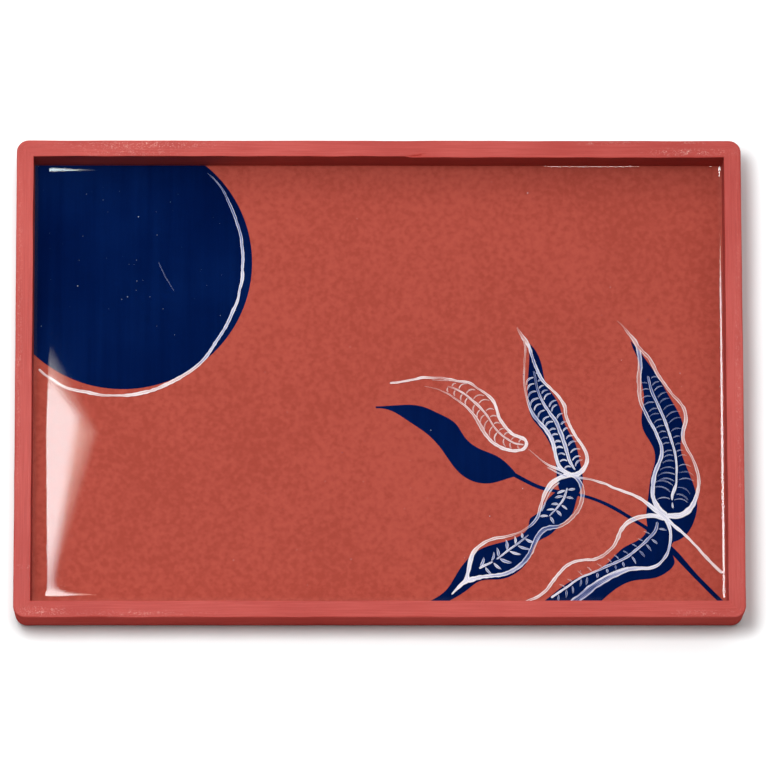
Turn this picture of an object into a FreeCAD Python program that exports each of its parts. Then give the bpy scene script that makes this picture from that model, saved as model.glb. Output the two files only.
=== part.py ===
import FreeCAD
import Part
import os

# Painted wooden serving tray: four mitred rails, a plywood base panel let into a
# rebate, a painted moon and leafy branch on the panel, and a clear resin coat over it.
# Frame: origin at the centre of the footprint, +X along the long side, +Y to the back,
# +Z up. Units are millimetres.

# ---- driving dimensions ----
LENGTH = 300.0
WIDTH = 200.0
HEIGHT = 22.0
RAIL = 7.0
CORNER_RADIUS = 5.0
OUTER_EASE = 0.7
INNER_EASE = 0.3
FOOT_EASE = 0.5

PANEL_THICK = 5.0
REBATE = 3.5
RESIN_THICK = 2.5
PAINT_THICK = 0.12
LINE_THICK = 0.08

# corner pins, driven along X through the short rails into the ends of the long rails
CORNER_PIN_RADIUS = 0.5
CORNER_PIN_LENGTH = 15.0
PIN_HEAD_RADIUS = 0.8
PIN_HEAD_THICK = 0.5
PIN_SINK = 1.3
CORNER_PIN_HEIGHTS = (7.0, 17.0)

# panel pins, driven up through the rebated edge of the panel into the rails
PANEL_PIN_RADIUS = 0.45
PANEL_PIN_LENGTH = 11.0
PANEL_HEAD_RADIUS = 0.9
PANEL_HEAD_THICK = 0.4
PANEL_HEAD_SINK = 0.3
LONG_SIDE_PINS = (-100.0, 0.0, 100.0)
SHORT_SIDE_PINS = (-50.0, 50.0)

# ---- painted motif, all in the plane of the panel's top ----
MOON_CENTRE = (-106.1, 51.7)
MOON_RADIUS = 53.5
MOON_CORNER = 9.0
RIM_LINE_CENTRE = (-108.1, 47.2)
RIM_LINE_RADIUS = 51.6
RIM_LINE_WIDTH = 1.6

# each leaf is a ring of sides; a side is one smooth curve, and sides meet in corners
LEAVES = {
    "left_leaf_paint": [
        [(-1.3, -9.8), (-1.3, -9)],
        [(-1.3, -9), (7.9, -8.5), (16.9, -8.8), (24.9, -12.1), (32.2, -16.8), (35.2, -21.6), (41.9, -27),
         (48.9, -30), (54.4, -34.6), (57.4, -38.2)],
        [(57.4, -38.2), (52.9, -39.4), (45.9, -41.3), (38.4, -40.3), (32.4, -36.1), (25.9, -27.1),
         (19.9, -20.6), (11.9, -15), (5.9, -11.2), (-1.3, -9.8)],
    ],
    "upper_leaf_paint": [
        [(61.9, 17.9), (65.9, 12.9), (67.8, 6.9), (69.1, 0.9), (74.2, -7.6), (77.2, -17.1), (81.2, -24.6),
         (82.9, -31.6), (84.2, -38.6), (83.5, -43.8)],
        [(83.5, -43.8), (78.9, -45.6), (74.5, -44.2)],
        [(74.5, -44.2), (73.3, -36.6), (72.9, -31.1), (70.4, -24.1), (66.2, -17.6), (63.2, -13.6),
         (61.8, -7.1), (61.6, 0.4), (62.2, 8.4), (61.9, 17.9)],
    ],
    "right_leaf_paint": [
        [(110.7, -59.1), (110.3, -54.6), (111.2, -46.6), (112.5, -38.1), (114.2, -30.6), (113.1, -25.6),
         (109.3, -18.6), (108.7, -13.6), (109.8, -5.6), (108.7, 2.4), (107.7, 10.4), (105.7, 14.9),
         (104.5, 18.7)],
        [(104.5, 18.7), (108.2, 14.2), (112.1, 8.7), (116.3, 2.4), (120.4, -5.1), (124.7, -13.1),
         (125.9, -18.6), (124.8, -24.6), (126.4, -32.6), (129.7, -41.1), (131.4, -48.6), (130.2, -56.6),
         (126.4, -63.1), (121.5, -65.8)],
        [(121.5, -65.8), (115.9, -64.1), (110.7, -59.1)],
    ],
    "front_leaf_paint": [
        [(74.5, -44.2), (70.4, -47.2), (67.9, -50.4), (65.4, -53.9), (62.3, -56.2), (61.5, -59.6),
         (57.4, -63.6), (49.9, -66.2), (42.4, -68.6), (35.7, -73.9), (31.4, -80.1), (27.4, -86.1),
         (20.9, -90.6), (13.9, -95)],
        [(13.9, -95), (20.9, -95)],
        [(20.9, -95), (28.9, -90.4), (35.9, -86.1), (41.4, -82.2), (49.9, -81.4), (57.4, -78.1),
         (61.9, -72.6), (65.2, -65.9), (70.4, -62.9), (74.9, -58.6), (79.4, -54.6), (80.9, -50.6),
         (83.5, -43.8)],
        [(83.5, -43.8), (78.9, -45.6), (74.5, -44.2)],
    ],
    "front_right_leaf_paint": [
        [(110.7, -59.1), (108.9, -63.6), (101.1, -68.1), (95.1, -73.8), (90.9, -77.2), (83.9, -80),
         (77.4, -83.2), (70.5, -88.5), (60.9, -95)],
        [(60.9, -95), (85.9, -95)],
        [(85.9, -95), (92.1, -89.9), (98.7, -84.6), (104.9, -82), (112.9, -81), (118.7, -78.4),
         (121.8, -74.4), (120.5, -69.6), (121.5, -65.8)],
        [(121.5, -65.8), (115.9, -64.1), (110.7, -59.1)],
    ],
}

# the branch is a brushed band: x, y and width at each point
BRANCH = [
    (54.4, -37, 1.8), (59.9, -39.9, 1.6), (65.9, -42.8, 1.5), (71.9, -44.4, 1.3), (79.9, -45.6, 1.2),
    (86.9, -47.3, 1.2), (95.7, -51, 1.4), (104.7, -56.4, 1.4), (111.9, -61.2, 1.5), (117.9, -66.4, 2),
    (122.7, -71.4, 2.4), (129.3, -78.9, 1.9), (135.3, -85.2, 1.8), (142.5, -92.4, 1.7),
]

# ---- sizes worked out from the driving dimensions ----
INNER_LENGTH = LENGTH - 2 * RAIL
INNER_WIDTH = WIDTH - 2 * RAIL
PAINT_TOP = PANEL_THICK + PAINT_THICK
CUT_MARGIN = 1.0
EDGE_TOLERANCE = 1e-6
WELL_TOLERANCE = 1e-3


def centred_box(length, width, height, bottom=0.0):
    """A box centred on the origin in plan, standing on the given height."""
    return Part.makeBox(length, width, height, FreeCAD.Vector(-length / 2, -width / 2, bottom))


def prism(corners, height, bottom=0.0):
    """A straight prism over a polygon of plan corners."""
    points = [FreeCAD.Vector(x, y, bottom) for x, y in corners]
    outline = Part.makePolygon(points + points[:1])
    return Part.Face(outline).extrude(FreeCAD.Vector(0, 0, height))


def smooth_edge(points, level):
    """One edge through plan points: a line for two of them, a spline for more."""
    vectors = [FreeCAD.Vector(p[0], p[1], level) for p in points]
    if len(vectors) == 2:
        return Part.LineSegment(vectors[0], vectors[1]).toShape()
    curve = Part.BSplineCurve()
    curve.interpolate(vectors)
    return curve.toShape()


def film(sides, bottom, thick):
    """A thin layer of paint bounded by a ring of smooth sides."""
    outline = Part.Wire([smooth_edge(side, bottom) for side in sides])
    return Part.Face(outline).extrude(FreeCAD.Vector(0, 0, thick))


def one_solid(shape):
    """The largest solid of a cut shape, without loose slivers."""
    return max(shape.Solids, key=lambda solid: solid.Volume)


def group(solids):
    """Several separate solids as one node."""
    return Part.makeCompound(solids)


# ---- frame ----

def frame_ring():
    """All four rails in one piece: outer shape, opening and rebate, with the outside eased."""
    blank = centred_box(LENGTH, WIDTH, HEIGHT)
    uprights = [e for e in blank.Edges if abs(e.BoundBox.ZLength - HEIGHT) < EDGE_TOLERANCE]
    blank = blank.makeFillet(CORNER_RADIUS, uprights)
    top = [e for e in blank.Edges if e.BoundBox.ZMin > HEIGHT - EDGE_TOLERANCE]
    blank = blank.makeFillet(OUTER_EASE, top)
    foot = [e for e in blank.Edges if e.BoundBox.ZMax < EDGE_TOLERANCE]
    blank = blank.makeFillet(FOOT_EASE, foot)
    opening = centred_box(INNER_LENGTH, INNER_WIDTH, HEIGHT + 2 * CUT_MARGIN, -CUT_MARGIN)
    rebate = centred_box(INNER_LENGTH + 2 * REBATE, INNER_WIDTH + 2 * REBATE, PANEL_THICK + CUT_MARGIN,
                         -CUT_MARGIN)
    return blank.cut(opening).cut(rebate)


def rail_wedges():
    """Plan wedges that split the ring along its 45 degree mitres."""
    far_x = LENGTH / 2 + CUT_MARGIN
    far_y = WIDTH / 2 + CUT_MARGIN
    ridge = LENGTH / 2 - WIDTH / 2
    return {
        "front_rail": [(-far_x, -far_y), (far_x, -far_y), (ridge, 0), (-ridge, 0)],
        "back_rail": [(far_x, far_y), (-far_x, far_y), (-ridge, 0), (ridge, 0)],
        "left_rail": [(-far_x, far_y), (-far_x, -far_y), (-ridge, 0)],
        "right_rail": [(far_x, -far_y), (far_x, far_y), (ridge, 0)],
    }


def ease_inner_edge(rail):
    """Round the rail's inner top edge, the only straight top edge inside the opening."""
    def is_inner_top(edge):
        box = edge.BoundBox
        inside = max(abs(box.XMin), abs(box.XMax)) < INNER_LENGTH / 2 + WELL_TOLERANCE
        inside = inside and max(abs(box.YMin), abs(box.YMax)) < INNER_WIDTH / 2 + WELL_TOLERANCE
        return box.ZMin > HEIGHT - EDGE_TOLERANCE and inside
    return rail.makeFillet(INNER_EASE, [e for e in rail.Edges if is_inner_top(e)])


def make_rails():
    """The four rails by name, mitred and eased, still without pin holes."""
    ring = frame_ring()
    rails = {}
    for name, corners in rail_wedges().items():
        wedge = prism(corners, HEIGHT + 2 * CUT_MARGIN, -CUT_MARGIN)
        rails[name] = ease_inner_edge(one_solid(ring.common(wedge)))
    return rails


# ---- pins ----

def pin(start, direction, head_radius, head_thick, radius, length):
    """A headed pin that starts with its head's outer face and runs along a direction."""
    head = Part.makeCylinder(head_radius, head_thick, start, direction)
    shank = Part.makeCylinder(radius, length, start, direction)
    return head.fuse(shank).removeSplitter()


def corner_pin_places():
    """Outer face point and driving direction of each corner pin."""
    side = WIDTH / 2 - RAIL / 2
    for sign_x in (-1, 1):
        for sign_y in (-1, 1):
            for height in CORNER_PIN_HEIGHTS:
                point = FreeCAD.Vector(sign_x * LENGTH / 2, sign_y * side, height)
                yield point, FreeCAD.Vector(-sign_x, 0, 0)


def make_corner_pins():
    """Sunk corner pins, and the putty that closes each hole flush with the rail."""
    outside = centred_box(LENGTH, WIDTH, HEIGHT)
    uprights = [e for e in outside.Edges if abs(e.BoundBox.ZLength - HEIGHT) < EDGE_TOLERANCE]
    outside = outside.makeFillet(CORNER_RADIUS, uprights)
    pins = []
    plugs = []
    for point, inward in corner_pin_places():
        head_face = point + inward * PIN_SINK
        pins.append(pin(head_face, inward, PIN_HEAD_RADIUS, PIN_HEAD_THICK, CORNER_PIN_RADIUS,
                        CORNER_PIN_LENGTH))
        plug = Part.makeCylinder(PIN_HEAD_RADIUS, PIN_SINK, point, inward)
        plugs.append(one_solid(plug.common(outside)))
    return pins, plugs


def make_panel_pins():
    """Pins from below through the panel's edge, with their heads just under the face."""
    line_x = INNER_LENGTH / 2 + REBATE / 2
    line_y = INNER_WIDTH / 2 + REBATE / 2
    places = [(x, side * line_y) for side in (-1, 1) for x in LONG_SIDE_PINS]
    places += [(side * line_x, y) for side in (-1, 1) for y in SHORT_SIDE_PINS]
    up = FreeCAD.Vector(0, 0, 1)
    pins = []
    holes = []
    for x, y in places:
        start = FreeCAD.Vector(x, y, PANEL_HEAD_SINK)
        pins.append(pin(start, up, PANEL_HEAD_RADIUS, PANEL_HEAD_THICK, PANEL_PIN_RADIUS, PANEL_PIN_LENGTH))
        mouth = FreeCAD.Vector(x, y, 0)
        holes.append(Part.makeCylinder(PANEL_HEAD_RADIUS, PANEL_HEAD_SINK, mouth, up))
    return pins, holes


# ---- paint ----

def branch_sides():
    """The two long sides and two ends of the branch, from its points and widths."""
    left = []
    right = []
    last = len(BRANCH) - 1
    for i, (x, y, width) in enumerate(BRANCH):
        before = BRANCH[max(i - 1, 0)]
        after = BRANCH[min(i + 1, last)]
        along = FreeCAD.Vector(after[0] - before[0], after[1] - before[1], 0).normalize()
        half = width / 2
        left.append((x - along.y * half, y + along.x * half))
        right.append((x + along.y * half, y - along.x * half))
    right.reverse()
    return [left, [left[-1], right[0]], right, [right[-1], left[0]]]


def make_paint():
    """The navy shapes by name: moon, leaves and branch, trimmed to the floor and to each other."""
    floor = centred_box(INNER_LENGTH, INNER_WIDTH, PAINT_THICK, PANEL_THICK)
    centre = FreeCAD.Vector(MOON_CENTRE[0], MOON_CENTRE[1], PANEL_THICK)
    disc = Part.makeCylinder(MOON_RADIUS, PAINT_THICK, centre)
    well_corner = FreeCAD.Vector(-INNER_LENGTH / 2, INNER_WIDTH / 2 - MOON_CORNER, PANEL_THICK)
    filled = disc.fuse(Part.makeBox(MOON_CORNER, MOON_CORNER, PAINT_THICK, well_corner)).removeSplitter()
    paint = {"moon_paint": one_solid(filled.common(floor))}
    for name, sides in LEAVES.items():
        paint[name] = one_solid(film(sides, PANEL_THICK, PAINT_THICK).common(floor))
    leaves = group([shape for name, shape in paint.items() if name != "moon_paint"])
    band = film(branch_sides(), PANEL_THICK, PAINT_THICK).common(floor)
    spans = [solid for solid in band.cut(leaves).Solids if solid.Volume > PAINT_THICK]
    paint["branch_paint"] = group(spans)
    return paint


def make_rim_line():
    """The pale line round the moon: a thin arc-shaped film a little off the moon's centre."""
    centre = FreeCAD.Vector(RIM_LINE_CENTRE[0], RIM_LINE_CENTRE[1], PAINT_TOP)
    outer = Part.makeCylinder(RIM_LINE_RADIUS + RIM_LINE_WIDTH / 2, LINE_THICK, centre)
    inner = Part.makeCylinder(RIM_LINE_RADIUS - RIM_LINE_WIDTH / 2, LINE_THICK, centre)
    floor = centred_box(INNER_LENGTH, INNER_WIDTH, LINE_THICK, PAINT_TOP)
    return one_solid(outer.cut(inner).common(floor))


def main():
    """Build every piece and write one STEP file for each node."""
    rails = make_rails()
    panel = centred_box(INNER_LENGTH + 2 * REBATE, INNER_WIDTH + 2 * REBATE, PANEL_THICK)
    corner_pins, plugs = make_corner_pins()
    panel_pins, pin_mouths = make_panel_pins()
    drilled = group(corner_pins + plugs + panel_pins + pin_mouths)
    nodes = {name: one_solid(rail.cut(drilled)) for name, rail in rails.items()}
    nodes["base_panel"] = one_solid(panel.cut(drilled))

    paint = make_paint()
    rim_line = make_rim_line()
    resin = centred_box(INNER_LENGTH, INNER_WIDTH, RESIN_THICK, PANEL_THICK)
    nodes["resin_coat"] = one_solid(resin.cut(group(list(paint.values()) + [rim_line])))
    nodes.update(paint)
    nodes["moon_rim_line"] = rim_line
    nodes["corner_pins"] = group(corner_pins)
    nodes["pin_hole_filler"] = group(plugs)
    nodes["panel_pins"] = group(panel_pins)

    os.makedirs("parts", exist_ok=True)
    for name, shape in nodes.items():
        shape.exportStep("parts/" + name + ".step")
        print(name, len(shape.Solids), round(shape.Volume, 1), shape.isValid())


main()
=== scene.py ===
"""Painted wooden serving tray.

Four terracotta rails stand round a painted panel. A navy moon and a leafy branch are
brushed on the panel, white lines are drawn over them, and a clear coat of resin, drawn up
a little at the walls, lies over it all. Lengths in the tables are millimetres in the
tray's own frame, and every mesh is made in metres.
"""
from __future__ import annotations

import logging
from dataclasses import dataclass, field
from enum import Enum
from typing import Iterable, Sequence

import bpy
import numpy as np
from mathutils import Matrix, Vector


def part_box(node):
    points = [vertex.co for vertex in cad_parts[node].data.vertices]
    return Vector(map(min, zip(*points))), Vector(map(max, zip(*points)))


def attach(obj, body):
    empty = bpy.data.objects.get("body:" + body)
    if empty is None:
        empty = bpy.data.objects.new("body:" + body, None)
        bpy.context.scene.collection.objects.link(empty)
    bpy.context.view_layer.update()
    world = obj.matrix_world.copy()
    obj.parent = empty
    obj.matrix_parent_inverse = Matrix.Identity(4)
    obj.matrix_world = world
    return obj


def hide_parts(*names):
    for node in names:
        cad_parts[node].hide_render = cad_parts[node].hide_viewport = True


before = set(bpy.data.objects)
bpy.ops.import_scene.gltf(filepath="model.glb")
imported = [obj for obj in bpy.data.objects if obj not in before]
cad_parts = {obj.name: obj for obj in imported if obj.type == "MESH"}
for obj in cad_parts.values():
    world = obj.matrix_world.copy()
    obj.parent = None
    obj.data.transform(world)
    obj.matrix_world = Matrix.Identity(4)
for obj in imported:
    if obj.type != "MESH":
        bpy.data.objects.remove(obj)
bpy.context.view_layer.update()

log = logging.getLogger("tray")

MM = 0.001
RGB = tuple[float, float, float]
WHITE: RGB = (1.0, 1.0, 1.0)
BLACK: RGB = (0.0, 0.0, 0.0)
OVERSAMPLING = 4
FEWEST_DENSE = 16
FEWEST_SAMPLES = 4
WAVE_SPREAD = (0.45, 1.9)
Span = tuple[float, float]
StrokePoint = tuple[float, float, float, float]


# ---------------------------------------------------------------- curves and noise

def smooth_path(points: np.ndarray, step: float) -> np.ndarray:
    """Carry a smooth curve through a few points and sample it evenly.

    Each span is a cubic Hermite curve over its chord length, and the slope at a point is
    the weighted mean of the slopes of its two spans, so the curve passes through every
    point without overshooting much.

    Args:
        points: n rows, with x and y first and any carried values after them.
        step: distance between samples, in the points' unit.

    Returns:
        Rows sampled at even arc length, with the same columns.
    """
    points = np.asarray(points, float)
    spans = np.linalg.norm(np.diff(points[:, :2], axis=0), axis=1)
    knots = arc_length(points)
    slopes = np.diff(points, axis=0) / spans[:, None]
    both = (spans[:-1] + spans[1:])[:, None]
    inner = (slopes[:-1] * spans[1:, None] + slopes[1:] * spans[:-1, None]) / both
    tangents = np.vstack([slopes[:1], inner, slopes[-1:]])
    dense = np.linspace(0.0, knots[-1], max(int(knots[-1] / step * OVERSAMPLING), FEWEST_DENSE))
    i = np.clip(np.searchsorted(knots, dense, side="right") - 1, 0, len(spans) - 1)
    h = spans[i][:, None]
    t = ((dense - knots[i]) / spans[i])[:, None]
    curve = ((2 * t**3 - 3 * t**2 + 1) * points[i] + (t**3 - 2 * t**2 + t) * h * tangents[i]
             + (3 * t**2 - 2 * t**3) * points[i + 1] + (t**3 - t**2) * h * tangents[i + 1])
    run = arc_length(curve)
    even = np.linspace(0.0, run[-1], max(int(round(run[-1] / step)) + 1, FEWEST_SAMPLES))
    return np.stack([np.interp(even, run, curve[:, k]) for k in range(curve.shape[1])], axis=1)


def arc_length(path: np.ndarray) -> np.ndarray:
    """Distance along a sampled path at each sample."""
    return np.concatenate([[0.0], np.cumsum(np.linalg.norm(np.diff(path[:, :2], axis=0), axis=1))])


def wobble(where: np.ndarray, wavelength: float, seed: int, waves: int = 6) -> np.ndarray:
    """Hand-made unevenness: a sum of sines of near wavelengths with random phases.

    Args:
        where: positions along one line, any shape.
        wavelength: the middle wavelength, in the same unit.
        seed: picks the phases, so each edge is uneven in its own way.
        waves: how many sines are added.

    Returns:
        Values of about -1 to 1, in the shape of where.
    """
    rng = np.random.default_rng(seed)
    lengths = wavelength * rng.uniform(*WAVE_SPREAD, waves)
    phases = rng.uniform(0, 2 * np.pi, waves)
    total = np.sin(2 * np.pi * np.asarray(where)[..., None] / lengths + phases).sum(axis=-1)
    return total / np.sqrt(waves)


# ---------------------------------------------------------------- meshes

@dataclass
class MeshSheet:
    """Grids of points joined into one mesh, with values carried at the points.

    Every grid is a closed ring of points carried along a line, so each makes a closed skin
    with a flat lid at both ends.
    """

    verts: list[np.ndarray] = field(default_factory=list)
    uvs: list[np.ndarray] = field(default_factory=list)
    values: dict[str, list[np.ndarray]] = field(default_factory=dict)
    faces: list[list[int]] = field(default_factory=list)
    slots: list[int] = field(default_factory=list)
    count: int = 0
    crease: float = np.radians(50)

    def add_swept(self, grid: np.ndarray, uv: np.ndarray, slots: np.ndarray | None = None,
                  **values: np.ndarray) -> None:
        """Add a ring of points carried along a line.

        Args:
            grid: stations x ring x 3 points, with the ring anticlockwise seen from the end
                that the line runs towards.
            uv: stations x ring x 2 pattern coordinates.
            slots: material slot of each ring step, or None for the first slot.
            values: stations x ring numbers, by attribute name.
        """
        stations, ring = grid.shape[:2]
        index = np.arange(stations * ring).reshape(stations, ring) + self.count
        near, far = index[:-1], index[1:]
        quads = np.stack([near, np.roll(near, -1, 1), np.roll(far, -1, 1), far], axis=-1).reshape(-1, 4)
        steps = np.zeros(ring, int) if slots is None else np.asarray(slots)
        self.faces += quads.tolist() + [index[0, ::-1].tolist(), index[-1].tolist()]
        self.slots += np.tile(steps, stations - 1).tolist() + [int(steps[0])] * 2
        self.verts.append(grid.reshape(-1, 3))
        self.uvs.append(uv.reshape(-1, 2))
        for name, numbers in values.items():
            self.values.setdefault(name, []).append(np.broadcast_to(numbers, (stations, ring)).ravel())
        self.count += stations * ring

    def build(self, name: str, materials: Sequence[bpy.types.Material], slot: str) -> bpy.types.Object:
        """Put the grids into one mesh object in metres and ride it on the tray.

        Args:
            name: the piece's name.
            materials: finishes, in slot order.
            slot: not used.

        Returns:
            The new object.
        """
        mesh = bpy.data.meshes.new(name)
        verts = np.vstack(self.verts) * MM
        mesh.from_pydata(verts.tolist(), [], self.faces)
        uv = np.vstack(self.uvs)
        layer = mesh.uv_layers.new(name="strokes")
        corners = np.empty(len(mesh.loops), np.int32)
        mesh.loops.foreach_get("vertex_index", corners)
        layer.data.foreach_set("uv", uv[corners].ravel().astype(np.float32))
        for key, chunks in self.values.items():
            attribute = mesh.attributes.new(key, "FLOAT", "POINT")
            attribute.data.foreach_set("value", np.concatenate(chunks).astype(np.float32))
        for material in materials:
            mesh.materials.append(material)
        mesh.polygons.foreach_set("material_index", np.array(self.slots, np.int32))
        mesh.polygons.foreach_set("use_smooth", np.ones(len(self.faces), bool))
        mesh.update()
        mesh.set_sharp_from_angle(angle=self.crease)
        mesh.validate()
        piece = bpy.data.objects.new(name, mesh)
        bpy.context.scene.collection.objects.link(piece)
        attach(piece, "root")
        log.info("%s: %d points, %d faces", name, len(verts), len(self.faces))
        return piece


# ---------------------------------------------------------------- finishes

class Wiring:
    """A small hand for adding and linking the nodes of one tree."""

    def __init__(self, tree: bpy.types.NodeTree) -> None:
        """Work on this tree."""
        self.tree = tree

    def node(self, kind: str, **settings: object) -> bpy.types.Node:
        """Add a node and set its own properties."""
        made = self.tree.nodes.new(kind)
        for key, value in settings.items():
            setattr(made, key, value)
        return made

    def put(self, socket: bpy.types.NodeSocket, value: object) -> None:
        """Set an input to a value, or link it to another node's output."""
        if isinstance(value, bpy.types.NodeSocket):
            self.tree.links.new(value, socket)
        else:
            socket.default_value = value

    def feed(self, node: bpy.types.Node, **inputs: object) -> bpy.types.Node:
        """Set or link a node's inputs by name, with underscores for spaces."""
        for key, value in inputs.items():
            self.put(node.inputs[key.replace("_", " ")], value)
        return node

    def math(self, how: str, *values: object) -> bpy.types.NodeSocket:
        """One sum of numbers or sockets."""
        made = self.node("ShaderNodeMath", operation=how)
        for socket, value in zip(made.inputs, values):
            self.put(socket, value)
        return made.outputs["Value"]

    def vector(self, how: str, *values: object) -> bpy.types.NodeSocket:
        """One sum of vectors."""
        made = self.node("ShaderNodeVectorMath", operation=how)
        for socket, value in zip(made.inputs, values):
            self.put(socket, value)
        return made.outputs["Vector"]

    def split(self, vector: bpy.types.NodeSocket) -> bpy.types.NodeOutputs:
        """The X, Y and Z of a vector."""
        return self.feed(self.node("ShaderNodeSeparateXYZ"), Vector=vector).outputs

    def ramp(self, value: bpy.types.NodeSocket, stops: Iterable[tuple[float, RGB]]) -> bpy.types.NodeSocket:
        """A colour ramp with the given stops."""
        made = self.feed(self.node("ShaderNodeValToRGB"), Fac=value)
        bars = made.color_ramp.elements
        stops = list(stops)
        while len(bars) < len(stops):
            bars.new(0.5)
        for bar, (place, colour) in zip(bars, stops):
            bar.position = place
            bar.color = (*colour, 1.0)
        return made.outputs["Color"]


class Shader(Wiring):
    """The wiring of one material."""

    def __init__(self, name: str) -> None:
        """Make an empty node material of this name."""
        self.material = bpy.data.materials.new(name)
        self.material.use_nodes = True
        super().__init__(self.material.node_tree)
        self.tree.nodes.clear()
        self.out = self.node("ShaderNodeOutputMaterial")

    def mapped(self, vector: bpy.types.NodeSocket, scale: RGB) -> bpy.types.NodeSocket:
        """Coordinates stretched by a scale along each axis."""
        return self.feed(self.node("ShaderNodeMapping"), Vector=vector, Scale=scale).outputs["Vector"]

    def place(self) -> bpy.types.NodeSocket:
        """Object coordinates."""
        return self.node("ShaderNodeTexCoord").outputs["Object"]

    def coords(self, *scale: float) -> bpy.types.NodeSocket:
        """Object coordinates, stretched along X, Y and Z."""
        return self.mapped(self.place(), scale)

    def flow(self, along: float, across: float) -> bpy.types.NodeSocket:
        """The piece's own stroke coordinates, stretched along and across the stroke."""
        uv = self.node("ShaderNodeUVMap", uv_map="strokes").outputs["UV"]
        return self.mapped(uv, (along, across, 1.0))

    def attribute(self, name: str) -> bpy.types.NodeSocket:
        """A number carried at the piece's points."""
        return self.node("ShaderNodeAttribute", attribute_name=name).outputs["Fac"]

    def noise(self, vector: bpy.types.NodeSocket, detail: float = 3.0,
              rough: float = 0.55) -> bpy.types.NodeSocket:
        """Soft random pattern, about 0.5."""
        made = self.feed(self.node("ShaderNodeTexNoise"), Vector=vector, Scale=1.0, Detail=detail,
                         Roughness=rough)
        return made.outputs["Fac"]

    def grey(self, value: bpy.types.NodeSocket, low: float, high: float, to_low: float = 0.0,
             to_high: float = 1.0) -> bpy.types.NodeSocket:
        """Map a number from one range to another, held inside the new one."""
        made = self.feed(self.node("ShaderNodeMapRange"), Value=value, From_Min=low, From_Max=high,
                         To_Min=to_low, To_Max=to_high)
        return made.outputs["Result"]

    def mean(self, a: bpy.types.NodeSocket, share: float, b: bpy.types.NodeSocket) -> bpy.types.NodeSocket:
        """A weighted mean of two numbers, with the given share of the first."""
        return self.math("ADD", self.math("MULTIPLY", a, share), self.math("MULTIPLY", b, 1 - share))

    def mix(self, factor: bpy.types.NodeSocket, a: object, b: object) -> bpy.types.NodeSocket:
        """Blend two colours, each a socket or a plain colour."""
        made = self.node("ShaderNodeMix", data_type="RGBA")
        self.put(made.inputs[0], factor)
        for socket, colour in ((made.inputs[6], a), (made.inputs[7], b)):
            self.put(socket, colour if isinstance(colour, bpy.types.NodeSocket) else (*colour, 1.0))
        return made.outputs[2]

    def bump(self, height: bpy.types.NodeSocket, depth: float, strength: float) -> bpy.types.NodeSocket:
        """A bumped normal, with its depth in metres."""
        made = self.feed(self.node("ShaderNodeBump"), Height=height, Distance=depth, Strength=strength)
        return made.outputs["Normal"]

    def surface(self, shader: bpy.types.NodeSocket) -> bpy.types.Material:
        """Finish with this surface."""
        self.put(self.out.inputs["Surface"], shader)
        return self.material

    def principled(self, **inputs: object) -> bpy.types.Material:
        """Finish with one principled surface."""
        return self.surface(self.feed(self.node("ShaderNodeBsdfPrincipled"), **inputs).outputs["BSDF"])

    def see_through(self, tint: RGB) -> bpy.types.NodeSocket:
        """A clear surface of this tint."""
        made = self.feed(self.node("ShaderNodeBsdfTransparent"), Color=(*tint, 1.0))
        return made.outputs["BSDF"]


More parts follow.
